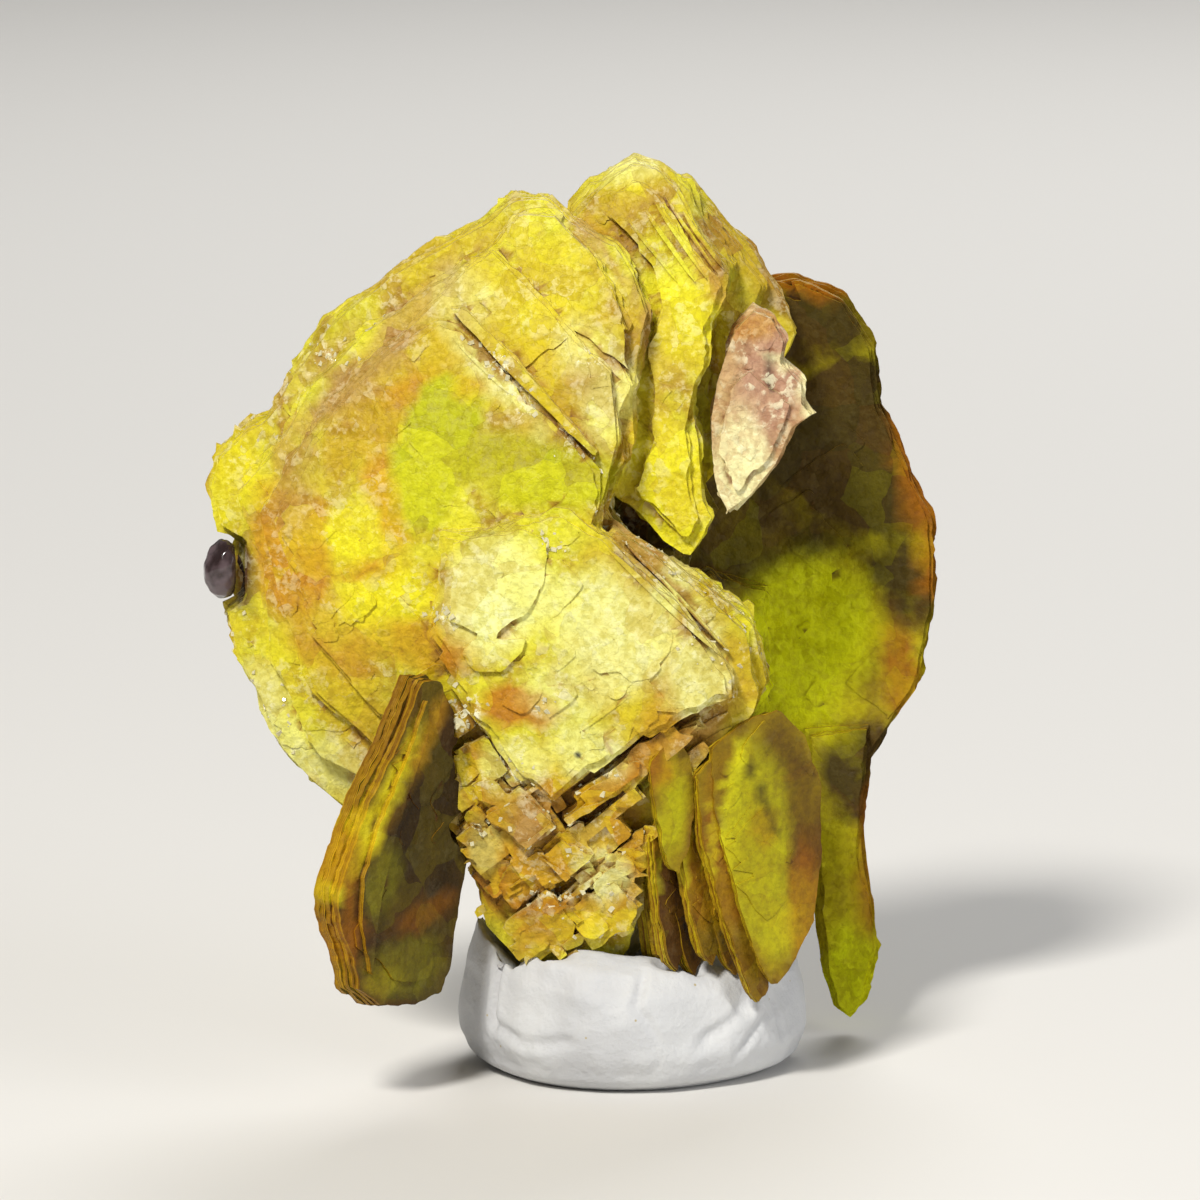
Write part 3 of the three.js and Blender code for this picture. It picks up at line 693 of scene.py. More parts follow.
def scales(tree, place, size):      # overlapping scales: a shade for each, and a height tilted its own way
    perMetre = 1 / (size * mm)
    warp = addNode(tree, "ShaderNodeTexNoise", {"Vector": place, "Scale": perMetre, "Detail": 2.0}, "Color")
    moved = addNode(tree, "ShaderNodeVectorMath", {0: warp, 1: [0.7 * size * mm] * 3, 2: place},
                    operation="MULTIPLY_ADD")
    cells = addNode(tree, "ShaderNodeTexVoronoi", {"Vector": moved, "Scale": perMetre}).node.outputs
    reach = addNode(tree, "ShaderNodeVectorMath", {0: moved, 1: cells["Position"]}, operation="SUBTRACT")
    way = addNode(tree, "ShaderNodeVectorMath", {0: cells["Color"], 1: (0.5, 0.5, 0.5)}, operation="SUBTRACT")
    rise = addNode(tree, "ShaderNodeVectorMath", {0: reach, 1: way}, "Value", operation="DOT_PRODUCT")
    shade = addNode(tree, "ShaderNodeSeparateColor", {"Color": cells["Color"]}, 2)
    return shade, addNode(tree, "ShaderNodeMath", {0: rise, 1: size * mm}, operation="DIVIDE")


crystalPattern = {              # shared by every crystal
    # lump in mm, detail and roughness
    "noises": {"broad": (1.7, 2, 0.5), "middling": (0.55, 3, 0.6), "grain": (0.11, 3, 0.65)},
    "broadScale": 1.3, "smallScale": 0.3, "leafLines": 0.0625, "relief": 0.12,      # mm
    "frostShare": 0.6, "speckCore": 0.5,
}


def crystalMaterial(name, look):            # pearly, slightly waxy leaves, stained and painted with shade along their clefts
    material, tree = newMaterial(name)
    place = addNode(tree, "ShaderNodeTexCoord", out="Object")
    masks = {label: addNode(tree, "ShaderNodeAttribute", out="Fac", attribute_name=label)
             for label in zoneNames + ["hollow", "tornSide", "leafHeight"]}
    broad, middling, grain = [
        addNode(tree, "ShaderNodeTexNoise",
                {"Vector": place, "Scale": 0.5 / (size * mm), "Detail": detail, "Roughness": roughness})
        for size, detail, roughness in crystalPattern["noises"].values()]
    broadShade, broadRise = scales(tree, place, crystalPattern["broadScale"])
    smallShade, smallRise = scales(tree, place, crystalPattern["smallScale"])
    # fine light and dark lines where a torn side shows the leaves
    lines = addNode(tree, "ShaderNodeTexNoise",
                    {"W": masks["leafHeight"], "Scale": 1 / crystalPattern["leafLines"], "Detail": 3.0},
                    noise_dimensions="1D")

    # sums: where each starts, then what is added to it and by how much
    sums = {
        "brokenUp": (0.45, [(middling, 1.0)]),
        # the two cleft masks carry painted shade: iron brown darkened in the clefts, and near black deepest
        # in
        "stainShadeCleft": (masks["hollow"], [(middling, 0.6)]),
        "deepCleft": (masks["hollow"], [(middling, 0.3)]),
        "crowd": (0, [(grain, 0.75), (smallShade, 0.25)]),
        "rough": (look["rough"], [(grain, 0.3)]),
        "height": (0, [(middling, 0.8), (grain, 0.6), (broadRise, 2.5), (broadShade, 0.5), (smallRise, 1.2),
                       (smallShade, 0.35)]),
    }
    for label, (total, parts) in sums.items():
        for part, weight in parts:
            total = addNode(tree, "ShaderNodeMath", {0: part, 1: weight, 2: total}, operation="MULTIPLY_ADD")
        sums[label] = total

    # fades: the source, where it begins and where it is full
    fades = {
        "body": (broad, 0.38, 0.62), "mottle": (middling, 0.48, 0.66),
        "cleaned": (broadShade, 0.62, 0.66), "rusted": (broadShade, 0.3, 0.26),
        "stainShade": (sums["stainShadeCleft"], 0.55, 1.0), "deep": (sums["deepCleft"], 0.87, 1.2),
        "lines": (lines, 0.4, 0.62), "grains": (grain, 0.33, 0.62),
        "crowded": (sums["crowd"], 0.5, 0.64), "patchy": (middling, 0.4, 0.6),
        "glassy": (smallShade, 0.5, 0.6),
    }
    for label, (source, low, high) in fades.items():
        fades[label] = addNode(tree, "ShaderNodeMapRange",
                               {"Value": source, "From Min": low, "From Max": high},
                               interpolation_type="SMOOTHSTEP")

    # colours from the bottom up: body, mottling, zones broken up by the noise, leaves that are cleaner or
    # rustier than the ones round them, iron stain and painted shade gathered in the clefts, painted shade
    # deepest in them, torn sides
    side = addNode(tree, "ShaderNodeMix", {0: fades["lines"], 6: look["sideDark"], 7: look["sideLight"]}, 2,
                   data_type="RGBA")
    layers = [(fades["body"], 1, look["bodyDeep"]), (fades["mottle"], look["mottled"], look["mottle"])]
    layers += [(masks[zone], sums["brokenUp"], look[zone]) for zone in zoneNames[:-1]]
    layers += [(fades["cleaned"], look["cleaned"], look["bright"]),
               (fades["rusted"], look["rusted"], look["rust"]),
               # painted shade in the clefts: the stain colour over iron brown, and the deep colour deepest in
               (fades["stainShade"], look["stainShadeShare"], look["stainShade"]),
               (fades["deep"], 0.9, look["deep"]),
               (masks["tornSide"], look["sided"], side)]
    colour = look["body"]
    for source, weight, tint in layers:
        share = addNode(tree, "ShaderNodeMath", {0: source, 1: weight}, operation="MULTIPLY", use_clamp=True)
        colour = addNode(tree, "ShaderNodeMix", {0: share, 6: colour, 7: tint}, 2, data_type="RGBA")

    # sugary grain: darker and warmer between the grains
    shade = 0.7
    for source, weight in ((fades["grains"], 0.16), (broadShade, 0.16), (smallShade, 0.09)):
        shade = addNode(tree, "ShaderNodeMath", {0: source, 1: weight, 2: shade}, operation="MULTIPLY_ADD")
    lit = addNode(tree, "ShaderNodeMapRange", {"Value": shade, "From Min": 0.74, "From Max": 1.0},
                  interpolation_type="SMOOTHSTEP")
    warmth = addNode(tree, "ShaderNodeMix", {0: lit, 6: look["grout"], 7: "#FFFFFF"}, 2, data_type="RGBA")
    colour = addNode(tree, "ShaderNodeVectorMath", {0: colour, "Scale": shade}, operation="SCALE")
    colour = addNode(tree, "ShaderNodeVectorMath", {0: colour, 1: warmth}, operation="MULTIPLY")

    # frosted white where the grains crowd, but not over the window or the rust, and painted glints in white
    # where the sparkle mask is
    bare = addNode(tree, "ShaderNodeMath", {0: masks["window"], 1: masks["rust"]}, operation="ADD",
                   use_clamp=True)
    frostAndGlint = addNode(tree, "ShaderNodeMath", {0: bare, 1: -look["frosted"], 2: look["frosted"]},
                   operation="MULTIPLY_ADD")
    frostAndGlint = addNode(tree, "ShaderNodeMath", {0: masks["sparkle"], 1: 0.5, 2: frostAndGlint}, operation="MULTIPLY_ADD")
    frost = addNode(tree, "ShaderNodeMath", {0: fades["crowded"], 1: fades["patchy"]}, operation="MULTIPLY")
    for weight in (frostAndGlint, crystalPattern["frostShare"]):
        frost = addNode(tree, "ShaderNodeMath", {0: frost, 1: weight}, operation="MULTIPLY")
    colour = addNode(tree, "ShaderNodeMix", {0: frost, 6: colour, 7: look["frost"]}, 2, data_type="RGBA")
    for middle, size, tint in look.get("specks", []):       # single dark inclusions
        gap = addNode(tree, "ShaderNodeVectorMath", {0: place, 1: [c * mm for c in middle]}, "Value",
                      operation="DISTANCE")
        core = crystalPattern["speckCore"] * size
        inclusion = addNode(tree, "ShaderNodeMapRange",
                            {"Value": gap, "From Min": size * mm, "From Max": core * mm},
                            interpolation_type="SMOOTHSTEP")
        colour = addNode(tree, "ShaderNodeMix", {0: inclusion, 6: colour, 7: tint}, 2, data_type="RGBA")

    glint = addNode(tree, "ShaderNodeMath", {0: masks["sparkle"], 1: fades["glassy"]}, operation="MULTIPLY")
    rough = addNode(tree, "ShaderNodeMath", {0: glint, 1: -0.35, 2: sums["rough"]}, operation="MULTIPLY_ADD",
                    use_clamp=True)
    bump = addNode(tree, "ShaderNodeBump", {"Height": sums["height"], "Strength": look["bump"],
                                            "Distance": crystalPattern["relief"] * mm})
    shader = addNode(tree, "ShaderNodeBsdfPrincipled",
                     {"Base Color": colour, "Roughness": rough, "Normal": bump, "IOR": 1.57,
                      "Specular IOR Level": look["gloss"]})
    addNode(tree, "ShaderNodeOutputMaterial", {"Surface": shader})
    return material


partLow, partHigh = (np.array(corner) for corner in cadBounds)
partMiddle = (partLow + partHigh) / 2
view = {                        # metres, and degrees above the level
    "elevation": 10, "distance": 0.25, "across": 0.03204, "nearest": 0.001, "farthest": 10,
    "shiftX": 0.0007, "shiftZ": 0.0011, "depthShare": 0.2, "sensor": 36,
}


def setCamera():
    camera = bpy.data.objects.new("camera", bpy.data.cameras.new("camera"))
    scene.collection.objects.link(camera)
    scene.camera = camera
    tilt = math.radians(view["elevation"])
    aim = Vector((partMiddle[0] + view["shiftX"], partLow[1] + view["depthShare"] * (partHigh - partLow)[1],
                  partMiddle[2] + view["shiftZ"]))
    camera.location = aim + view["distance"] * Vector((0, -math.cos(tilt), math.sin(tilt)))
    camera.rotation_euler = (math.pi / 2 - tilt, 0, 0)
    camera.data.sensor_width = view["sensor"]
    camera.data.lens = view["sensor"] * view["distance"] / view["across"]
    camera.data.clip_start = view["nearest"]
    camera.data.clip_end = view["farthest"]


floorLook = {"half": 0.6, "colour": "#DCDAD6", "rough": 0.7}


def setFloor():                 # matt white card
    mesh = bpy.data.meshes.new("table")
    half = floorLook["half"]
    corners = [(-half, -half, 0), (half, -half, 0), (half, half, 0), (-half, half, 0)]
    mesh.from_pydata(corners, [], [(0, 1, 2, 3)])
    floor = bpy.data.objects.new("table", mesh)
    scene.collection.objects.link(floor)
    material, tree = newMaterial("pale_matt_card")
    shader = addNode(tree, "ShaderNodeBsdfPrincipled",
                     {"Base Color": floorLook["colour"], "Roughness": floorLook["rough"]})
    addNode(tree, "ShaderNodeOutputMaterial", {"Surface": shader})
    mesh.materials.append(material)


lights = {
    "key": {"from": (-0.10, -0.20, 0.25), "size": 0.07, "watts": 1.1, "colour": "#FFFCF6"},
    "fill": {"from": (0.24, -0.14, 0.10), "size": 0.2, "watts": 0.3, "colour": "#F6F8FF"},
    "rim": {"from": (0.05, 0.24, 0.20), "size": 0.16, "watts": 0.4, "colour": "#FFFFFF"},
}
backdrop = {"Color": "#F4F3F0", "Strength": 0.15}


def setLights():
    for name, light in lights.items():
        lamp = bpy.data.lights.new(name, "AREA")
        lamp.shape = "DISK"
        lamp.size = light["size"]
        lamp.energy = light["watts"]
        lamp.color = linear(light["colour"])[:3]
        holder = bpy.data.objects.new(name, lamp)
        scene.collection.objects.link(holder)
        holder.location = light["from"]
        aim = Vector(partMiddle) - Vector(light["from"])
        holder.rotation_euler = aim.to_track_quat("-Z", "Y").to_euler()
    scene.view_settings.view_transform = "Standard"
    world = bpy.data.worlds.new("studio")
    scene.world = world
    world.use_nodes = True
    world.node_tree.nodes.clear()
    glow = addNode(world.node_tree, "ShaderNodeBackground", backdrop)
    addNode(world.node_tree, "ShaderNodeOutputWorld", {"Surface": glow})


for name in ("Cube", "Light", "Camera"):        # the start-up scene's own things
    if name in bpy.data.objects:
        bpy.data.objects.remove(bpy.data.objects[name])
setCamera()
setFloor()
setLights()
print("camera, floor and lights are set")

# the big crystal at the front: u, v in mm from its axis, and heights over its growth surface
tornEdge = {"wide": 0.13, "middle": 0.09, "fine": 0.04, "shift": (-0.14, 0.03), "step": 0.2, "stepped": 0.6}
flakes = {"long": (0.25, 1.7), "rise": (0.03, 0.09), "perSquare": 0.8, "angular": 0.6}
frontBook = {
    "yaw": 0, "at": (0, groupY), "sheet": domeSheet,
    "leaf": 0.14, "spacing": 0.165, "grid": 0.42, "wave": 0.045,
    "cleavage": 43, "edge": tornEdge, "flake": flakes, "seed": 3,
    "slivers": [(-4.8, 20.3, -3.3, 18.9, 0.1, 0.05), (-0.6, 14.9, 2.2, 12.2, 0.16, 0.06),
                (-0.2, 15.0, 2.6, 12.0, 0.1, 0.05), (-1.4, 10.0, 0.7, 11.6, 0.12, 0.04),
                (1.1, 9.8, 2.4, 10.7, 0.24, 0.06), (1.2, 9.4, 2.6, 10.3, 0.22, 0.09),
                (1.4, 9.1, 2.7, 9.9, 0.2, 0.05)],
    "plates": [
        {"rise": 0.1,
         "outline": [(-3.6, 22.6), (-2.5, 21.3), (-1.8, 20.5), (-1.1, 20.2), (-0.1, 19.5), (-0.3, 21.1),
                     (-1.1, 22.5), (-2.0, 23.4), (-3.0, 23.4)]},
        {"rise": 0.09,
         "outline": [(-7.8, 13.5), (-7.0, 13.9), (-6.2, 14.4), (-5.8, 13.9), (-5.4, 13.4), (-5.6, 12.9),
                     (-6.6, 12.5), (-7.6, 12.8)]},
        {"rise": 0.06,
         "outline": [(-8.2, 15.1), (-7.4, 15.9), (-6.9, 15.4), (-6.5, 14.5), (-7.2, 14.0), (-7.8, 13.6),
                     (-8.3, 14.5)]},
        {"rise": 0.09,
         "outline": [(-5.2, 13.7), (-3.9, 15.2), (-2.7, 15.5), (-1.8, 15.0), (-2.2, 14.3), (-2.4, 13.1),
                     (-3.0, 12.5), (-3.8, 12.0), (-4.7, 12.6)]},
        {"rise": 0.1,
         "outline": [(0.8, 12.3), (1.9, 12.8), (2.6, 11.5), (2.4, 10.7), (0.8, 10.0), (0.3, 11.0)]},
        # the bed of small tablets at the foot
        {"level": 2.88, "rise": 0, "cleavage": 37,
         "flake": {"long": (0.22, 0.85), "rise": (0.06, 0.34), "perSquare": 3.6, "angular": 1},
         "outline": [(-4.9, 10.8), (-3.6, 10.6), (-2.2, 9.0), (-0.6, 6.4), (0.9, 8.0), (1.9, 9.2), (0.6, 6.6),
                     (0.3, 4.6), (-0.4, 3.4), (-2.6, 3.0), (-4.2, 4.6), (-4.7, 6.8)]},
        # a leaf deep behind the grain, painted dark as shade by the first dark patch
        {"level": 0.3, "rise": 0,
         "outline": [(-9.9, 14.8), (-10.8, 14.3), (-11.05, 13.5), (-10.8, 12.7), (-9.9, 12.2)]},
    ],
    "zones": {
        # window: the crystal's lime colour and a painted glow where light gets through thin leaves
        "window": [(-5.2, 17.4, 1.0, 1.9, -15, 2), (-2.5, 16.8, 2.1, 1.0, -10, 1)],
        "bright": [(-7.4, 14.9, 0.8, 1.0, 0, 1), (-6.5, 13.4, 1.3, 0.8, 20, 1),
                   (-10.8, 16.0, 0.6, 1.3, -10, 0.8), (-2.0, 21.6, 1.3, 1.1, -40, 0.6),
                   (-3.6, 22.6, 1.2, 0.7, 20, 0.5), (-9.6, 11.2, 0.8, 0.8, 0, 0.6),
                   (-3.5, 20.9, 0.9, 0.8, 0, 0.7), (-4.7, 12.3, 0.7, 0.5, 0, 0.6)],
        "rust": [(-3.8, 6.3, 0.6, 1.7, 0, 0.9), (-0.5, 8.7, 2.0, 0.4, 37, 0.9),
                 (-0.4, 6.1, 0.9, 0.7, 0, 0.7), (-2.2, 4.3, 1.0, 0.4, 0, 0.5),
                 (-4.4, 9.3, 0.4, 0.8, 0, 0.5), (-2.6, 5.0, 1.5, 0.25, 8, 0.9),
                 (-8.5, 14.1, 0.5, 0.6, 0, 1), (-7.0, 14.1, 0.9, 0.22, 20, 1),
                 (-5.4, 12.1, 1.1, 0.8, 0, 0.9), (-8.0, 11.6, 1.2, 0.5, -20, 0.6),
                 (-4.4, 19.1, 0.6, 0.4, -30, 0.6), (-2.9, 10.6, 1.1, 0.5, -8, 1.3),
                 (1.0, 11.9, 0.22, 1.3, -12, 0.8)],
        "tan": [(-0.6, 22.25, 1.4, 0.22, -48, 0.8), (0.5, 19.9, 1.3, 0.2, -87, 0.8),
                (-6.9, 19.7, 3.6, 0.45, 46, 0.9), (-8.4, 19.4, 1.8, 0.3, 46, 0.5),
                (-9.0, 16.4, 0.5, 1.4, -10, 0.6), (0.4, 14.75, 1.7, 0.45, -40, 0.9),
                (-0.9, 18.9, 1.0, 0.5, -50, 0.6), (-4.2, 17.9, 0.4, 0.5, 0, 0.6),
                (-2.7, 7.4, 0.7, 0.7, 40, 1), (-1.2, 7.2, 0.5, 0.4, 40, 0.6),
                (1.7, 9.5, 0.8, 0.6, 40, 0.7)],
        "cream": [(-3.3, 18.9, 2.0, 0.28, -44, 0.7), (-4.6, 21.2, 0.9, 0.8, 45, 0.4),
                  (-0.5, 18.7, 0.7, 1.1, -30, 0.6), (-4.3, 13.1, 0.8, 0.8, 0, 0.8),
                  (0.9, 13.6, 0.5, 1.1, -40, 0.8), (1.9, 12.6, 0.4, 0.8, 20, 0.7),
                  (-8.0, 8.4, 0.8, 1.0, 30, 0.7), (-3.2, 9.0, 0.9, 0.7, 0, 0.8),
                  (-0.7, 5.9, 0.8, 0.8, 40, 0.8), (-3.9, 6.6, 0.4, 0.7, 0, 0.5),
                  (-1.0, 9.5, 1.0, 0.8, 0, 0.8), (-1.2, 19.9, 1.0, 0.6, -30, 0.5),
                  (-3.5, 13.7, 1.6, 1.4, 30, 1), (-0.4, 12.6, 2.0, 1.6, -30, 0.8),
                  (1.7, 11.4, 0.9, 1.2, 0, 0.9), (-1.6, 11.1, 1.2, 1.0, 0, 0.5),
                  (-9.6, 9.4, 0.7, 2.0, 20, 0.8)],
        "ochre": [(-6.6, 16.2, 0.5, 1.4, 10, 1), (-5.9, 18.9, 0.9, 0.4, 30, 1),
                  (-9.2, 14.6, 1.3, 2.0, 10, 0.9), (-7.8, 12.4, 1.6, 1.0, 0, 0.5),
                  (-2.0, 6.7, 2.9, 3.0, 0, 0.65), (0.9, 9.5, 1.6, 0.9, 35, 0.7)],
        # dark: painted shade behind the grain, in the notch and in the gap beside the left blade
        "dark": [(-10.5, 13.5, 0.25, 0.9, 0, 1), (0.2, 15.0, 1.3, 0.5, -38, 1, 1.2),
                 (-4.7, 8.6, 0.3, 1.6, 0, 0.5, 2.6), (-4.5, 8.6, 0.2, 1.5, 0, 0.8),
                 (-4.1, 5.8, 0.4, 1.7, 0, 0.3)],
        # sparkle: where the chips lie and the spots turn glossy, with glints painted white
        "sparkle": [(-4.4, 10.2, 0.35, 0.5, -30, 4), (-3.0, 8.9, 0.5, 0.4, 0, 4),
                    (-4.15, 7.2, 0.2, 0.4, 0, 4), (-2.1, 5.4, 0.6, 0.18, -10, 4),
                    (-2.2, 10.7, 0.25, 0.2, 0, 4), (-0.65, 8.7, 0.35, 0.2, 30, 3),
                    (-3.6, 8.6, 1.0, 1.6, 0, 0.5), (-1.6, 6.1, 1.8, 2.2, 0, 0.4),
                    (-2.6, 18.55, 2.3, 0.2, -44, 1.2), (-3.6, 19.7, 0.3, 0.25, 0, 4),
                    (-1.1, 19.8, 0.35, 0.25, 0, 3), (-2.2, 15.0, 0.4, 0.25, 0, 4),
                    (-5.0, 13.0, 0.35, 0.25, 0, 4), (-8.3, 19.5, 0.4, 0.3, 0, 2),
                    (0.6, 14.65, 1.8, 0.5, -40, 0.8), (-9.9, 9.85, 0.6, 2.2, 18, 1),
                    (-5.0, 10.1, 0.9, 0.9, 0, 0.7), (-8.7, 19.25, 4.2, 0.6, 43, 0.4),
                    (2.4, 12.65, 0.9, 1.8, 20, 0.5)],
    },
}
yellowLook = {
    "body": "#DAD630", "bodyDeep": "#C9AC14", "mottle": "#A67C08", "mottled": 0.6, "ochre": "#CC9400",
    "tan": "#B68E4C", "bright": "#E8DE08", "window": "#BCBE00", "rust": "#C08200", "cream": "#F0F29C",
    # stain and deep: painted shade in the clefts, over the iron brown
    "dark": "#2E1004", "stainShade": "#A27416", "stainShadeShare": 0.75, "deep": "#6E400A",
    "sideDark": "#98742A", "sideLight": "#EEE088", "sided": 0.6, "cleaned": 0.22, "rusted": 0.12,
    "frost": "#F8F3CC", "frosted": 0.42, "rough": 0.42, "bump": 0.9, "gloss": 0.3,
    "grout": "#F8F0BC",
    "specks": [((-1.42, -4.2, 9.35), 0.17, "#4A4C3C"), ((-5.34, -3.6, 13.3), 0.09, "#1C1204")],
}
# lemon-yellow uranium mica: waxy and pearly, brown where iron has run into the clefts, which are painted
# darker as shade
frontMaterial = crystalMaterial("pale_yellow_uranium_mica", yellowLook)
frontPiece = bookPiece("front_crystal_book", "front_book", frontBook, frontMaterial)

# chips of clear mica on the foot and the rims of the front crystal, in metres where they are lengths
chips = {"Per square mm": 5, "Smallest": 0.03 * mm, "Largest": 0.18 * mm, "Seed": 7}
chipLook = {"Base Color": "#F6EFC4", "Roughness": 0.12, "IOR": 1.57, "Transmission Weight": 0.35}


def chipTree(material):         # scatters small tablets over the faces where the sparkle mask allows
    tree = bpy.data.node_groups.new("cleavage_chips", "GeometryNodeTree")
    face = tree.interface
    face.new_socket("Geometry", in_out="OUTPUT", socket_type="NodeSocketGeometry")
    sockets = {}
    for name, kind in (("Geometry", "Geometry"), ("Per square mm", "Float"), ("Smallest", "Float"),
                       ("Largest", "Float"), ("Seed", "Int")):
        sockets[name] = face.new_socket(name, in_out="INPUT", socket_type="NodeSocket" + kind).identifier
    given = addNode(tree, "NodeGroupInput").node.outputs
    density = addNode(tree, "GeometryNodeInputNamedAttribute", {"Name": "sparkle"}, data_type="FLOAT")
    for weight in (given["Per square mm"], 1 / mm ** 2):
        density = addNode(tree, "ShaderNodeMath", {0: density, 1: weight}, operation="MULTIPLY")
    spots = addNode(tree, "GeometryNodeDistributePointsOnFaces",
                    {"Mesh": given["Geometry"], "Density": density, "Seed": given["Seed"]}).node.outputs
    tablet = addNode(tree, "GeometryNodeMeshCube", {"Size": (1.0, 0.7, 0.25)}, "Mesh")
    lean = addNode(tree, "FunctionNodeRandomValue",
                   {0: (-0.6, -0.6, 0), 1: (0.6, 0.6, 6.3), "Seed": given["Seed"]}, data_type="FLOAT_VECTOR")
    turned = addNode(tree, "FunctionNodeRotateRotation", {0: spots["Rotation"], 1: lean},
                     rotation_space="LOCAL")
    size = addNode(tree, "FunctionNodeRandomValue",
                   {2: given["Smallest"], 3: given["Largest"], "Seed": given["Seed"]}, 1, data_type="FLOAT")
    placed = addNode(tree, "GeometryNodeInstanceOnPoints",
                     {"Points": spots["Points"], "Instance": tablet, "Rotation": turned, "Scale": size})
    real = addNode(tree, "GeometryNodeRealizeInstances", {0: placed})
    made = addNode(tree, "GeometryNodeSetMaterial", {"Geometry": real, "Material": material})
    addNode(tree, "NodeGroupOutput", {0: made})
    return tree, sockets


def makeChips():
    material, tree = newMaterial("clear_mica_chips")        # colourless splinters that catch the light
    shader = addNode(tree, "ShaderNodeBsdfPrincipled", chipLook)
    addNode(tree, "ShaderNodeOutputMaterial", {"Surface": shader})
    group, sockets = chipTree(material)
    holder = bpy.data.objects.new("chip_bed", frontPiece.data)
    scene.collection.objects.link(holder)
    scatter = holder.modifiers.new("chips", "NODES")
    scatter.node_group = group
    for name, value in chips.items():
        scatter[sockets[name]] = value
    mesh = bpy.data.meshes.new_from_object(holder.evaluated_get(bpy.context.evaluated_depsgraph_get()))
    bpy.data.objects.remove(holder)
    mesh.transform(Matrix.Scale(1 / mm, 4))
    finishedPiece("cleavage_chips", mesh, "front_book", material)


makeChips()

# the curved stack behind the front crystal's upper right edge
upperBook = {
    **frontBook, "seed": 8, "cleavage": 48, "plates": [],
    "slivers": [(0.3, 23.5, 1.7, 21.5, 0.12, 0.1), (0.6, 23.6, 2.0, 21.6, 0.1, 0.12),
                (0.9, 23.7, 2.3, 21.7, 0.1, 0.1),
                (-0.1, 23.2, 1.2, 21.5, 0.1, 0.08), (1.4, 23.3, 2.5, 21.8, 0.12, 0.1),
                (0.2, 21.6, 0.9, 19.8, 0.12, 0.06)],
    "zones": {
        # the first bright patch is painted light that lifts the recess the front crystal shades
        "bright": [(0.0, 18.2, 0.6, 2.2, 0, 0.7), (1.3, 20.45, 1.0, 1.6, 60, 0.9),
                   (1.2, 15.85, 1.0, 2.4, 10, 1), (0.2, 24.25, 0.7, 0.5, 0, 0.5)],
        "rust": [(-0.8, 22.55, 0.8, 0.35, -30, 0.7), (2.1, 21.85, 0.3, 1.4, 25, 0.3)],
        "ochre": [(3.5, 21.85, 0.8, 2.4, 35, 0.8), (2.9, 18.25, 0.5, 2.6, 10, 0.7)],
        "tan": [(0.8, 19.6, 0.6, 1.1, 20, 0.8), (-0.6, 21.65, 0.8, 1.0, -40, 0.6),
                (2.4, 20.45, 0.35, 1.8, 15, 0.6)],
        "cream": [(-0.2, 24.55, 1.0, 0.6, 0, 0.8)],
        # dark: painted shade where the leaves show through the notch and along the shaded top right edge
        "dark": [(0.8, 14.4, 1.9, 1.4, 0, 1, -0.8), (2.5, 22.7, 0.6, 1.4, 35, 0.45),
                 (3.5, 21.6, 0.9, 2.6, 38, 0.45)],
    },
}
bookPiece("upper_crystal_book", "upper_book", upperBook, frontMaterial)

# the single thick leaf held between the upper crystal's leaves
sideBook = {
    **frontBook, "slivers": [], "plates": [], "sheet": sideSheet, "seed": 12, "cleavage": 50,
    "leaf": 0.15, "spacing": 0.1, "grid": 0.2,
    "flake": {**flakes, "long": (0.15, 0.7), "rise": (0.03, 0.07), "perSquare": 1.6},
    "zones": {
        "bright": [(2.9, 16.2, 0.5, 0.8, 0, 0.3)],
        "rust": [(3.3, 20.2, 0.9, 0.3, 10, 0.6)],
        "tan": [(3.9, 18.7, 1.0, 1.5, -20, 0.9)],
        "cream": [(2.9, 16.4, 0.8, 1.5, -10, 1), (4.9, 17.9, 0.25, 1.2, 10, 0.9),
                  (4.3, 19.2, 0.7, 0.2, -20, 0.8)],
        # dark: a crack painted dark as shade
        "dark": [(3.75, 18.9, 0.08, 0.7, 8, 0.7)],
        "sparkle": [(3.6, 18.0, 1.2, 2.4, -20, 0.6)],
    },
}
tanLook = {
    **yellowLook, "body": "#D0B078", "bodyDeep": "#BF9868", "mottle": "#A07658", "tan": "#BC9274",
    "cream": "#F2ECB0", "sideDark": "#5E3A1C", "stainShade": "#8A5428", "grout": "#F4E2DA",
    "cleaned": 0, "rusted": 0, "frosted": 0.7, "bump": 1,
}
# the same mica gone dusty: pinkish-tan crust over cream leaves
sideMaterial = crystalMaterial("dusty_tan_mica", tanLook)
bookPiece("side_crystal_plate", "side_plate", sideBook, sideMaterial)

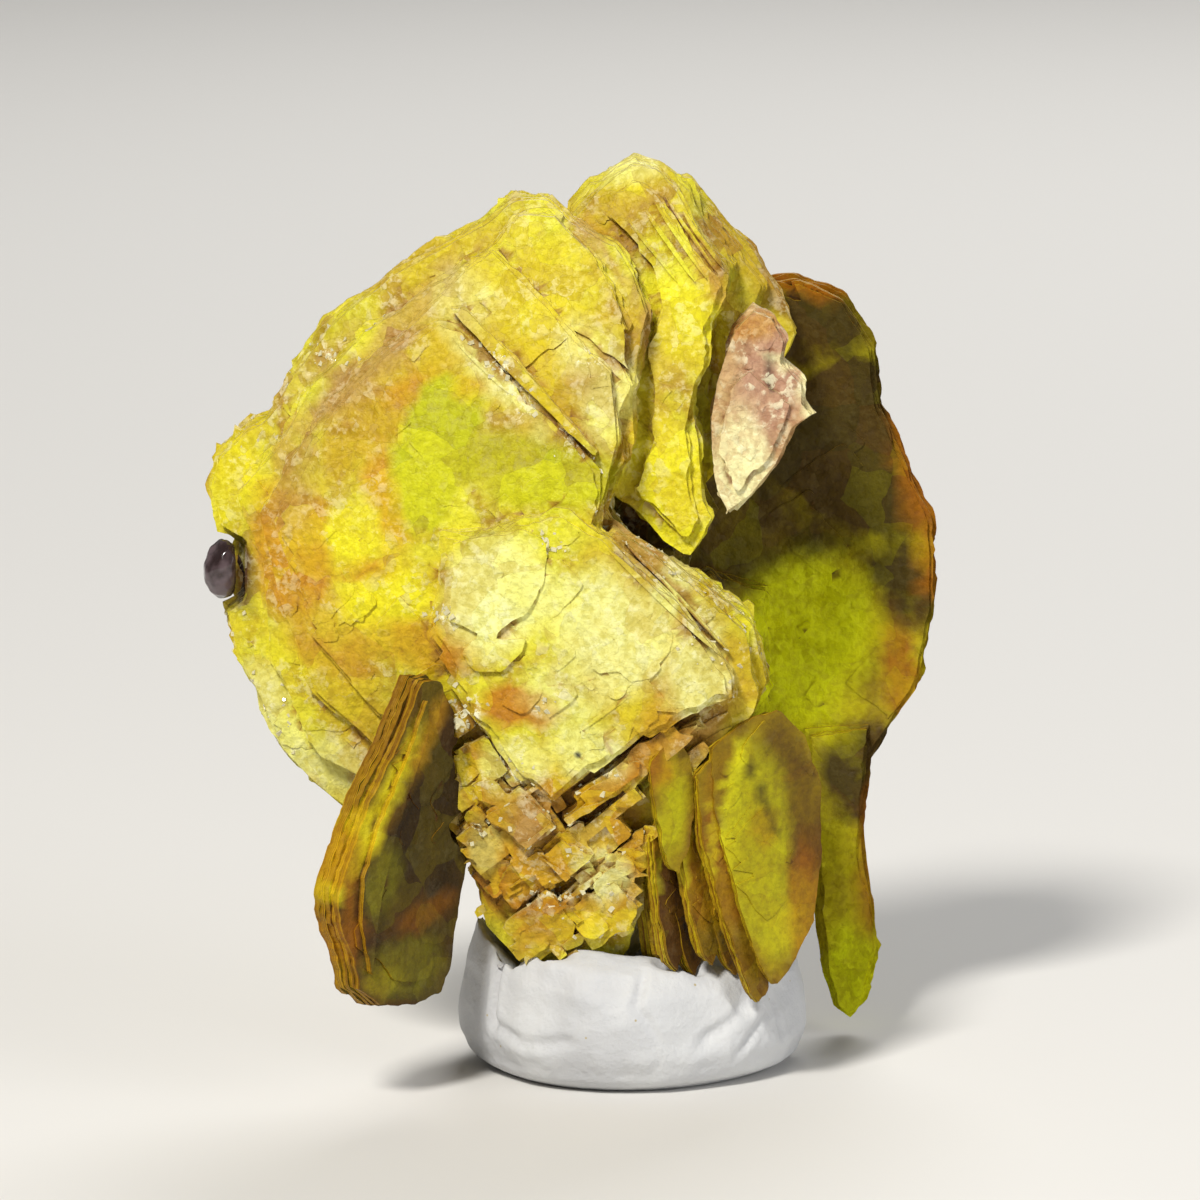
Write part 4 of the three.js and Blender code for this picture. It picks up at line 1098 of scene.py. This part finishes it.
# the wide hollow leaf behind, with its tongue
rearBook = {
    **frontBook, "sheet": rearDish, "seed": 15, "leaf": 0.14, "spacing": 0.16, "grid": 0.4, "wave": 0.06,
    "edge": {**tornEdge, "wide": 0.16, "middle": 0.07, "stepped": 0.25},
    "slivers": [], "plates": [],
    "flake": {**flakes, "long": (0.3, 1.5), "rise": (0.03, 0.08), "perSquare": 0.2},
    "zones": {
        # window and bright: lime colour with a painted glow where light gets through the thin leaves
        "window": [(4.8, 10.6, 1.9, 2.2, 0, 1), (6.1, 1.6, 0.8, 1.4, 0, 1)],
        "bright": [(4.9, 10.4, 1.1, 1.4, 0, 0.7), (6.2, 0.9, 0.6, 1.0, 0, 0.9)],
        "rust": [(4.8, 20.9, 2.2, 0.4, -10, 1), (8.0, 14.6, 0.45, 3.4, 14, 0.9),
                 (7.7, 9.4, 0.5, 2.0, 15, 0.8), (6.6, 5.0, 0.3, 2.0, 0, 0.7)],
        # tan: dark brown painted shadow where the crystals in front shade the plate
        "tan": [(6.2, 16.2, 2.2, 2.6, 10, 1.6), (7.6, 12.4, 0.8, 1.5, 10, 1), (4.8, 19.4, 2.0, 1.2, 0, 1.1),
                (5.0, 14.0, 1.6, 1.0, 0, 0.9), (6.4, 7.3, 1.4, 1.3, 0, 1.1), (3.0, 14.2, 1.6, 2.2, 0, 0.9),
                (2.4, 9.0, 1.6, 2.8, 0, 0.7)],
    },
}
greenLook = {
    **yellowLook, "body": "#BEB400", "bodyDeep": "#968200", "mottle": "#6A4C00", "mottled": 0.45,
    # tan here is dark brown painted shadow
    "window": "#DEE400", "bright": "#ECEC00", "tan": "#463800", "rust": "#A06202", "cream": "#D8D27A",
    "stainShade": "#5C3802", "deep": "#1E0E00", "sideDark": "#7C4C06", "sideLight": "#CCB012",
    "cleaned": 0.05, "rusted": 0.06, "frosted": 0.02, "rough": 0.5, "bump": 0.6, "gloss": 0.2,
}
# thin leaves of the same mica: lime green with a painted glow where light gets through them, painted shadow
# in dark brown where the crystals in front shade them, brown towards their rims
rearMaterial = crystalMaterial("lime_green_uranium_mica", greenLook)
bookPiece("rear_crystal_plate", "rear_plate", rearBook, rearMaterial)

# the thick leaf that stands out at the lower left
leftBook = {
    **frontBook, "slivers": [], "plates": [], "sheet": leftSheet, "seed": 21,
    "yaw": 45, "at": (leftLow[0] + 0.54, leftLow[1] + 0.02), "leaf": 0.17, "spacing": 0.13, "grid": 0.3,
    "edge": {**tornEdge, "wide": 0.05, "middle": 0.04, "shift": (-0.05, 0.01), "stepped": 0.15},
    "flake": {**flakes, "long": (0.3, 1.6), "rise": (0.03, 0.08), "perSquare": 0.5},
    "zones": {
        "ochre": [(1.9, 8.4, 2.9, 0.5, 48, 0.8)],
        # tan: dark brown painted shade on the face
        "tan": [(4.3, 7.6, 0.8, 3.2, 0, 1), (2.8, 7.4, 1.2, 1.8, 20, 0.8)],
        "window": [(2.4, 3.8, 1.6, 0.8, 0, 0.4), (1.6, 6.2, 0.7, 1.0, -20, 0.4)],
        "bright": [(1.0, 7.4, 3.0, 0.3, 56, 0.9), (1.6, 3.5, 0.8, 0.4, 0, 0.3)],
        "rust": [(3.4, 5.1, 1.2, 0.35, 15, 0.4), (0.5, 6.6, 0.3, 2.8, 0, 0.7)],
    },
}
# the dark body and the near-black tan are painted shade over the blade's face
brownLook = {
    **greenLook, "body": "#5E4A00", "bodyDeep": "#402C00", "mottle": "#2E1A00", "mottled": 0.7,
    "ochre": "#B88808", "window": "#8C880C", "rust": "#9C6000", "tan": "#302000", "bright": "#D2C40A",
    "stainShade": "#4E2A04", "sideDark": "#945E04", "sideLight": "#D4A408", "sided": 0.55, "frosted": 0.03,
}
# olive leaves stained orange-brown on their broken side, their face painted dark as shade
leftMaterial = crystalMaterial("brown_stained_mica_painted_shade", brownLook)
bookPiece("left_crystal_blade", "left_blade", leftBook, leftMaterial)

# the pointed blades that hang side by side at the lower right
fanRows = [                     # place in mm from the fan's low corner, then the blade's own sizes
    {"at": (1.78, 0.63), "yaw": 26, "top": 10.3, "tip": 2.9, "width": 3.3, "lean": 1.2, "thick": 0.5},
    {"at": (1.38, 0.38), "yaw": 36, "top": 9.6, "tip": 2.3, "width": 2.6, "lean": 1.3, "thick": 0.4},
    {"at": (1.03, 0.78), "yaw": 44, "top": 9.3, "tip": 3.0, "width": 2.5, "lean": 1.1, "thick": 0.4},
    {"at": (0.18, 0.13), "yaw": 24, "top": 9.6, "tip": 6.0, "width": 1.25, "lean": 0.45, "thick": 0.35},
    {"at": (0.73, 0.38), "yaw": 50, "top": 9.5, "tip": 3.4, "width": 2.2, "lean": 0.7, "thick": 0.35},
    {"at": (0.43, 0.83), "yaw": 56, "top": 9.1, "tip": 3.0, "width": 2.3, "lean": 0.5, "thick": 0.35},
    {"at": (0.13, 0.43), "yaw": 48, "top": 7.6, "tip": 3.2, "width": 1.6, "lean": 0.45, "thick": 0.35},
    {"at": (-0.02, 1.03), "yaw": 62, "top": 8.6, "tip": 3.3, "width": 2.2, "lean": 0.3, "thick": 0.35},
    {"at": (-0.22, 1.43), "yaw": 70, "top": 8.5, "tip": 3.2, "width": 2.0, "lean": 0.2, "thick": 0.35},
]
greenBladeZones = {
    "window": [(1.3, 6.6, 1.0, 2.8, 0, 0.8)],
    "bright": [(0.4, 6.6, 0.3, 3.4, -10, 1), (1.8, 4.4, 0.7, 0.8, 0, 0.4)],
    "rust": [(2.7, 5.0, 0.6, 2.0, 0, 0.6), (1.5, 7.2, 0.4, 0.5, 0, 0.5)],
    "tan": [(2.4, 8.0, 0.8, 2.2, 20, 0.8)],
    # dark: a thin line of painted shade
    "dark": [(1.35, 8.2, 0.14, 1.2, 22, 0.7)],
}
goldBladeZones = {
    "window": [(0.55, 7.6, 0.4, 1.4, 0, 1)],
    "bright": [(0.3, 8.0, 0.14, 1.6, -6, 1)],
    "rust": [(0.2, 9.0, 0.4, 0.6, 0, 0.7)],
}
brownBladeZones = {
    "bright": [(0.25, 6.0, 0.16, 3.6, -12, 0.9)],
    "rust": [(0.8, 6.8, 0.6, 2.0, 0, 0.5)],
    "tan": [(1.8, 5.4, 0.7, 2.4, 0, 0.6), (0.4, 3.6, 0.5, 0.9, 0, 0.4)],
}
deepBladeZones = {
    "bright": [(0.2, 6.0, 0.1, 3.6, -12, 0.5)],
    "rust": [(0.4, 7.6, 0.5, 1.2, 0, 0.5)],
    "tan": [(0.9, 5.2, 1.1, 2.8, 0, 1.1)],
}
# the dark brown tan is painted shade, most on the blades behind
fanLook = {
    **brownLook, "body": "#988002", "bodyDeep": "#765404", "mottle": "#5E3800", "mottled": 0.65,
    "window": "#AEA800", "rust": "#9E6200", "tan": "#523402", "bright": "#D4CE0A",
    "sideDark": "#8E6206", "sideLight": "#D4BC0C", "sided": 0.7,
}
bladeZones = [greenBladeZones, brownBladeZones, brownBladeZones, goldBladeZones, brownBladeZones]
bladeZones += [deepBladeZones] * (len(fanRows) - len(bladeZones))       # the blades behind get more dark brown, painted as shade
bladeBook = {
    **leftBook, "leaf": 0.08, "seed": 30,
    "flake": {**flakes, "long": (0.2, 1.0), "rise": (0.02, 0.05), "perSquare": 0.6},
}
bladeCurl = {"lean": 0.012, "arch": 0.05, "ridge": 0.4}         # out at the tip, round across, ridge's place
# thin golden-green blades, browner towards the foot
fanMaterial = crystalMaterial("golden_green_mica", fanLook)


def makeFan():
    blades = []
    for number, (row, zones) in enumerate(zip(fanRows, bladeZones)):

        def bladeSheet(u, v, row=row):
            arch = bladeCurl["arch"] * (u - bladeCurl["ridge"] * row["width"]) ** 2
            return bladeCurl["lean"] * (row["top"] - v) ** 2 - arch

        blade = {**bladeBook, "yaw": row["yaw"], "at": tuple(fanLow[:2] + row["at"]), "sheet": bladeSheet,
                 "seed": bladeBook["seed"] + number, "zones": zones}
        points, faces = bladeSolid(row)
        mesh = fused("blade%d" % number, stackOf(fromBook(points, blade), faces, blade))
        markCrystal(mesh, blade)
        blades.append(mesh)
    whole = joinedMeshes("blade_fan_crystal", blades)
    finishedPiece("blade_fan_crystal", whole, "blade_fan", fanMaterial)


makeFan()


def remeshed(node, cell, rounds):           # a copy of the CAD solid as an even, softened skin, in mm
    holder = bpy.data.objects.new(node + "_skin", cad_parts[node].data.copy())
    scene.collection.objects.link(holder)
    holder.data.transform(Matrix.Scale(1 / mm, 4))
    remesh = holder.modifiers.new("remesh", "REMESH")
    remesh.mode = "VOXEL"
    remesh.voxel_size = cell
    soften = holder.modifiers.new("soften", "SMOOTH")
    soften.iterations = rounds
    mesh = bpy.data.meshes.new_from_object(holder.evaluated_get(bpy.context.evaluated_depsgraph_get()))
    bpy.data.objects.remove(holder)
    return mesh


def pushed(mesh, amount):                   # moves every point along its normal
    points = meshFloats(mesh, "co") + meshFloats(mesh, "normal") * amount[:, None]
    mesh.vertices.foreach_set("co", points.ravel())
    mesh.update()


# the glassy grain caught on the left rim: a wet-looking grey bead with one bright glint
rimGrain = {
    "cell": 0.07, "rounds": 3,                              # mm of the skin's faces, and rounds of softening
    "swell": 0.05, "hollows": 0.1, "pits": 0.03,            # mm
    "cloud": 0.45, "dark": "#2E2020", "pale": "#6A5A5E",
    "shader": {"Roughness": 0.14, "IOR": 1.54, "Transmission Weight": 0.15},
}


def makeGrain():
    mesh = remeshed("dark_grain", rimGrain["cell"], rimGrain["rounds"])
    points = meshFloats(mesh, "co")
    chipped = np.abs(softNoise(points, 0.5, 61)) * rimGrain["hollows"]
    chipped = chipped + softNoise(points, 0.22, 62) * rimGrain["pits"]
    pushed(mesh, rimGrain["swell"] - chipped)
    material, tree = newMaterial("smoky_quartz_grain")
    place = addNode(tree, "ShaderNodeTexCoord", out="Object")
    cloud = addNode(tree, "ShaderNodeTexNoise",
                    {"Vector": place, "Scale": 0.5 / (rimGrain["cloud"] * mm), "Detail": 3, "Roughness": 0.5})
    share = addNode(tree, "ShaderNodeMapRange", {"Value": cloud, "From Min": 0.4, "From Max": 0.6},
                    interpolation_type="SMOOTHSTEP")
    colour = addNode(tree, "ShaderNodeMix", {0: share, 6: rimGrain["dark"], 7: rimGrain["pale"]}, 2,
                     data_type="RGBA")
    shader = addNode(tree, "ShaderNodeBsdfPrincipled", {"Base Color": colour, **rimGrain["shader"]})
    addNode(tree, "ShaderNodeOutputMaterial", {"Surface": shader})
    finishedPiece("smoky_grain", mesh, "dark_grain", material, True)


makeGrain()

# the dab of mounting putty: dense, matt and faintly waxy
putty = {
    "cell": 0.12, "rounds": 8, "inset": 0.05, "flatBase": 0.5,              # mm, and rounds of softening
    "lumps": [(0.07, 1.5, 71), (0.035, 0.6, 72), (0.012, 0.25, 73)],        # height, lump in mm, seed
    # thumb dents: angle round the foot, height, size, depth
    "dents": [(-118, 2.3, 1.1, 0.22), (-62, 1.9, 1.0, 0.18), (-92, 3.4, 0.9, 0.14), (-20, 2.4, 1.3, 0.3),
              (35, 1.8, 1.2, 0.2), (80, 2.6, 1.4, 0.3), (128, 2.0, 1.2, 0.25), (172, 2.8, 1.1, 0.2)],
    "dentFall": 1.4,
    # folds pressed into the skin: angle and height from and to, width, depth
    "folds": [(-150, 3.9, -147, 1.5, 0.14, 0.3), (-84, 3.4, -88, 2.5, 0.12, 0.14),
              (-88, 2.5, -80, 1.6, 0.1, 0.1), (-146, 1.6, -128, 1.25, 0.14, 0.16),
              (-128, 1.25, -108, 1.5, 0.12, 0.12), (-66, 1.2, -44, 2.2, 0.16, 0.12),
              (-50, 0.9, -34, 1.9, 0.13, 0.12), (-30, 3.2, -24, 1.2, 0.15, 0.18),
              (20, 3.2, 52, 2.4, 0.15, 0.2), (70, 1.2, 110, 1.6, 0.14, 0.18),
              (110, 1.6, 138, 3.0, 0.12, 0.16), (150, 0.9, 176, 1.4, 0.15, 0.2)],
    "foldRadius": 4.4, "foldCut": 0.8, "foldLip": 0.2,      # mm, then shares of the fold's depth
    "foldWander": (0.05, 0.5, 74), "lipAt": 2.0, "foldEnds": 0.35,          # height, lump and seed; widths
    # the creased colour is painted shade in the folds and dents
    "colour": "#C0C1C3", "worn": "#CFD0D0", "creaseShade": "#B4B2B4", "speck": "#B0A27C",
    "speckApart": 0.7, "hollowReach": 1.4, "relief": 0.1,   # mm
    "noises": {"broad": (2.2, 3, 0.5), "grain": (0.16, 4, 0.6), "lumps": (0.5, 3, 0.5)},
    "shader": {"Roughness": 0.62, "IOR": 1.5},
}


def makePutty():
    mesh = remeshed("putty_foot", putty["cell"] * (1), putty["rounds"])
    points = meshFloats(mesh, "co")
    angle = np.degrees(np.arctan2(points[:, 1], points[:, 0]))
    radius = np.hypot(points[:, 0], points[:, 1])
    push = 0
    for height, size, seed in putty["lumps"]:
        push = push + height * softNoise(points, size, seed)

    def apart(to):              # distance round the foot in mm
        return np.radians((angle - to + 180) % 360 - 180) * radius

    for at, height, size, depth in putty["dents"]:
        reach = (apart(at) / size) ** 2 + ((points[:, 2] - height) / size) ** 2
        push -= depth * np.exp(-reach * putty["dentFall"])
    swing, lump, seed = putty["foldWander"]
    wander = swing * softNoise(points, lump, seed)
    for at, height, toAngle, toHeight, wide, depth in putty["folds"]:
        along = np.array([math.radians(toAngle - at) * putty["foldRadius"], toHeight - height])
        du, dv = apart(at), points[:, 2] - height
        share = np.clip((du * along[0] + dv * along[1]) / (along @ along), 0, 1)
        gap = np.hypot(du - share * along[0], dv - share * along[1]) + wander
        ends = np.clip(4 * share * (1 - share) + putty["foldEnds"], 0, 1)   # shallower towards both ends
        push -= putty["foldCut"] * depth * ends * np.exp(-(gap / wide) ** 2)
        push += putty["foldLip"] * depth * ends * np.exp(-((gap - putty["lipAt"] * wide) / wide) ** 2)
    base = np.clip(points[:, 2] / putty["flatBase"], 0, 1)          # the underside stays flat
    pushed(mesh, (push - putty["inset"]) * base * np.clip(radius - 1, 0, 1))
    setFloats(mesh, "hollow", hollowness(mesh, putty["hollowReach"]))

    material, tree = newMaterial("white_mounting_putty")
    place = addNode(tree, "ShaderNodeTexCoord", out="Object")
    broad, grain, lumps = [
        addNode(tree, "ShaderNodeTexNoise",
                {"Vector": place, "Scale": 0.5 / (size * mm), "Detail": detail, "Roughness": roughness})
        for size, detail, roughness in putty["noises"].values()]
    hollow = addNode(tree, "ShaderNodeAttribute", out="Fac", attribute_name="hollow")
    # painted shade where the skin lies hollow in folds and dents
    creaseShade = addNode(tree, "ShaderNodeMath", {0: hollow, 1: 0.5}, operation="MULTIPLY")
    specks = addNode(tree, "ShaderNodeTexVoronoi", {"Vector": place, "Scale": 1 / (putty["speckApart"] * mm)},
                     "Distance")
    worn, dotted = [
        addNode(tree, "ShaderNodeMapRange", {"Value": source, "From Min": low, "From Max": high},
                interpolation_type="SMOOTHSTEP")
        for source, low, high in ((broad, 0.35, 0.65), (specks, 0.07, 0.04))]
    colour = putty["colour"]
    for share, tint in ((worn, "worn"), (creaseShade, "creaseShade"), (dotted, "speck")):
        colour = addNode(tree, "ShaderNodeMix", {0: share, 6: colour, 7: putty[tint]}, 2, data_type="RGBA")
    height = addNode(tree, "ShaderNodeMath", {0: lumps, 1: 1.6, 2: grain}, operation="MULTIPLY_ADD")
    bump = addNode(tree, "ShaderNodeBump",
                   {"Height": height, "Strength": 0.5, "Distance": putty["relief"] * mm})
    shader = addNode(tree, "ShaderNodeBsdfPrincipled",
                     {"Base Color": colour, "Normal": bump, **putty["shader"]})
    addNode(tree, "ShaderNodeOutputMaterial", {"Surface": shader})
    finishedPiece("putty_foot_pressed", mesh, "putty_foot", material, True)


makePutty()
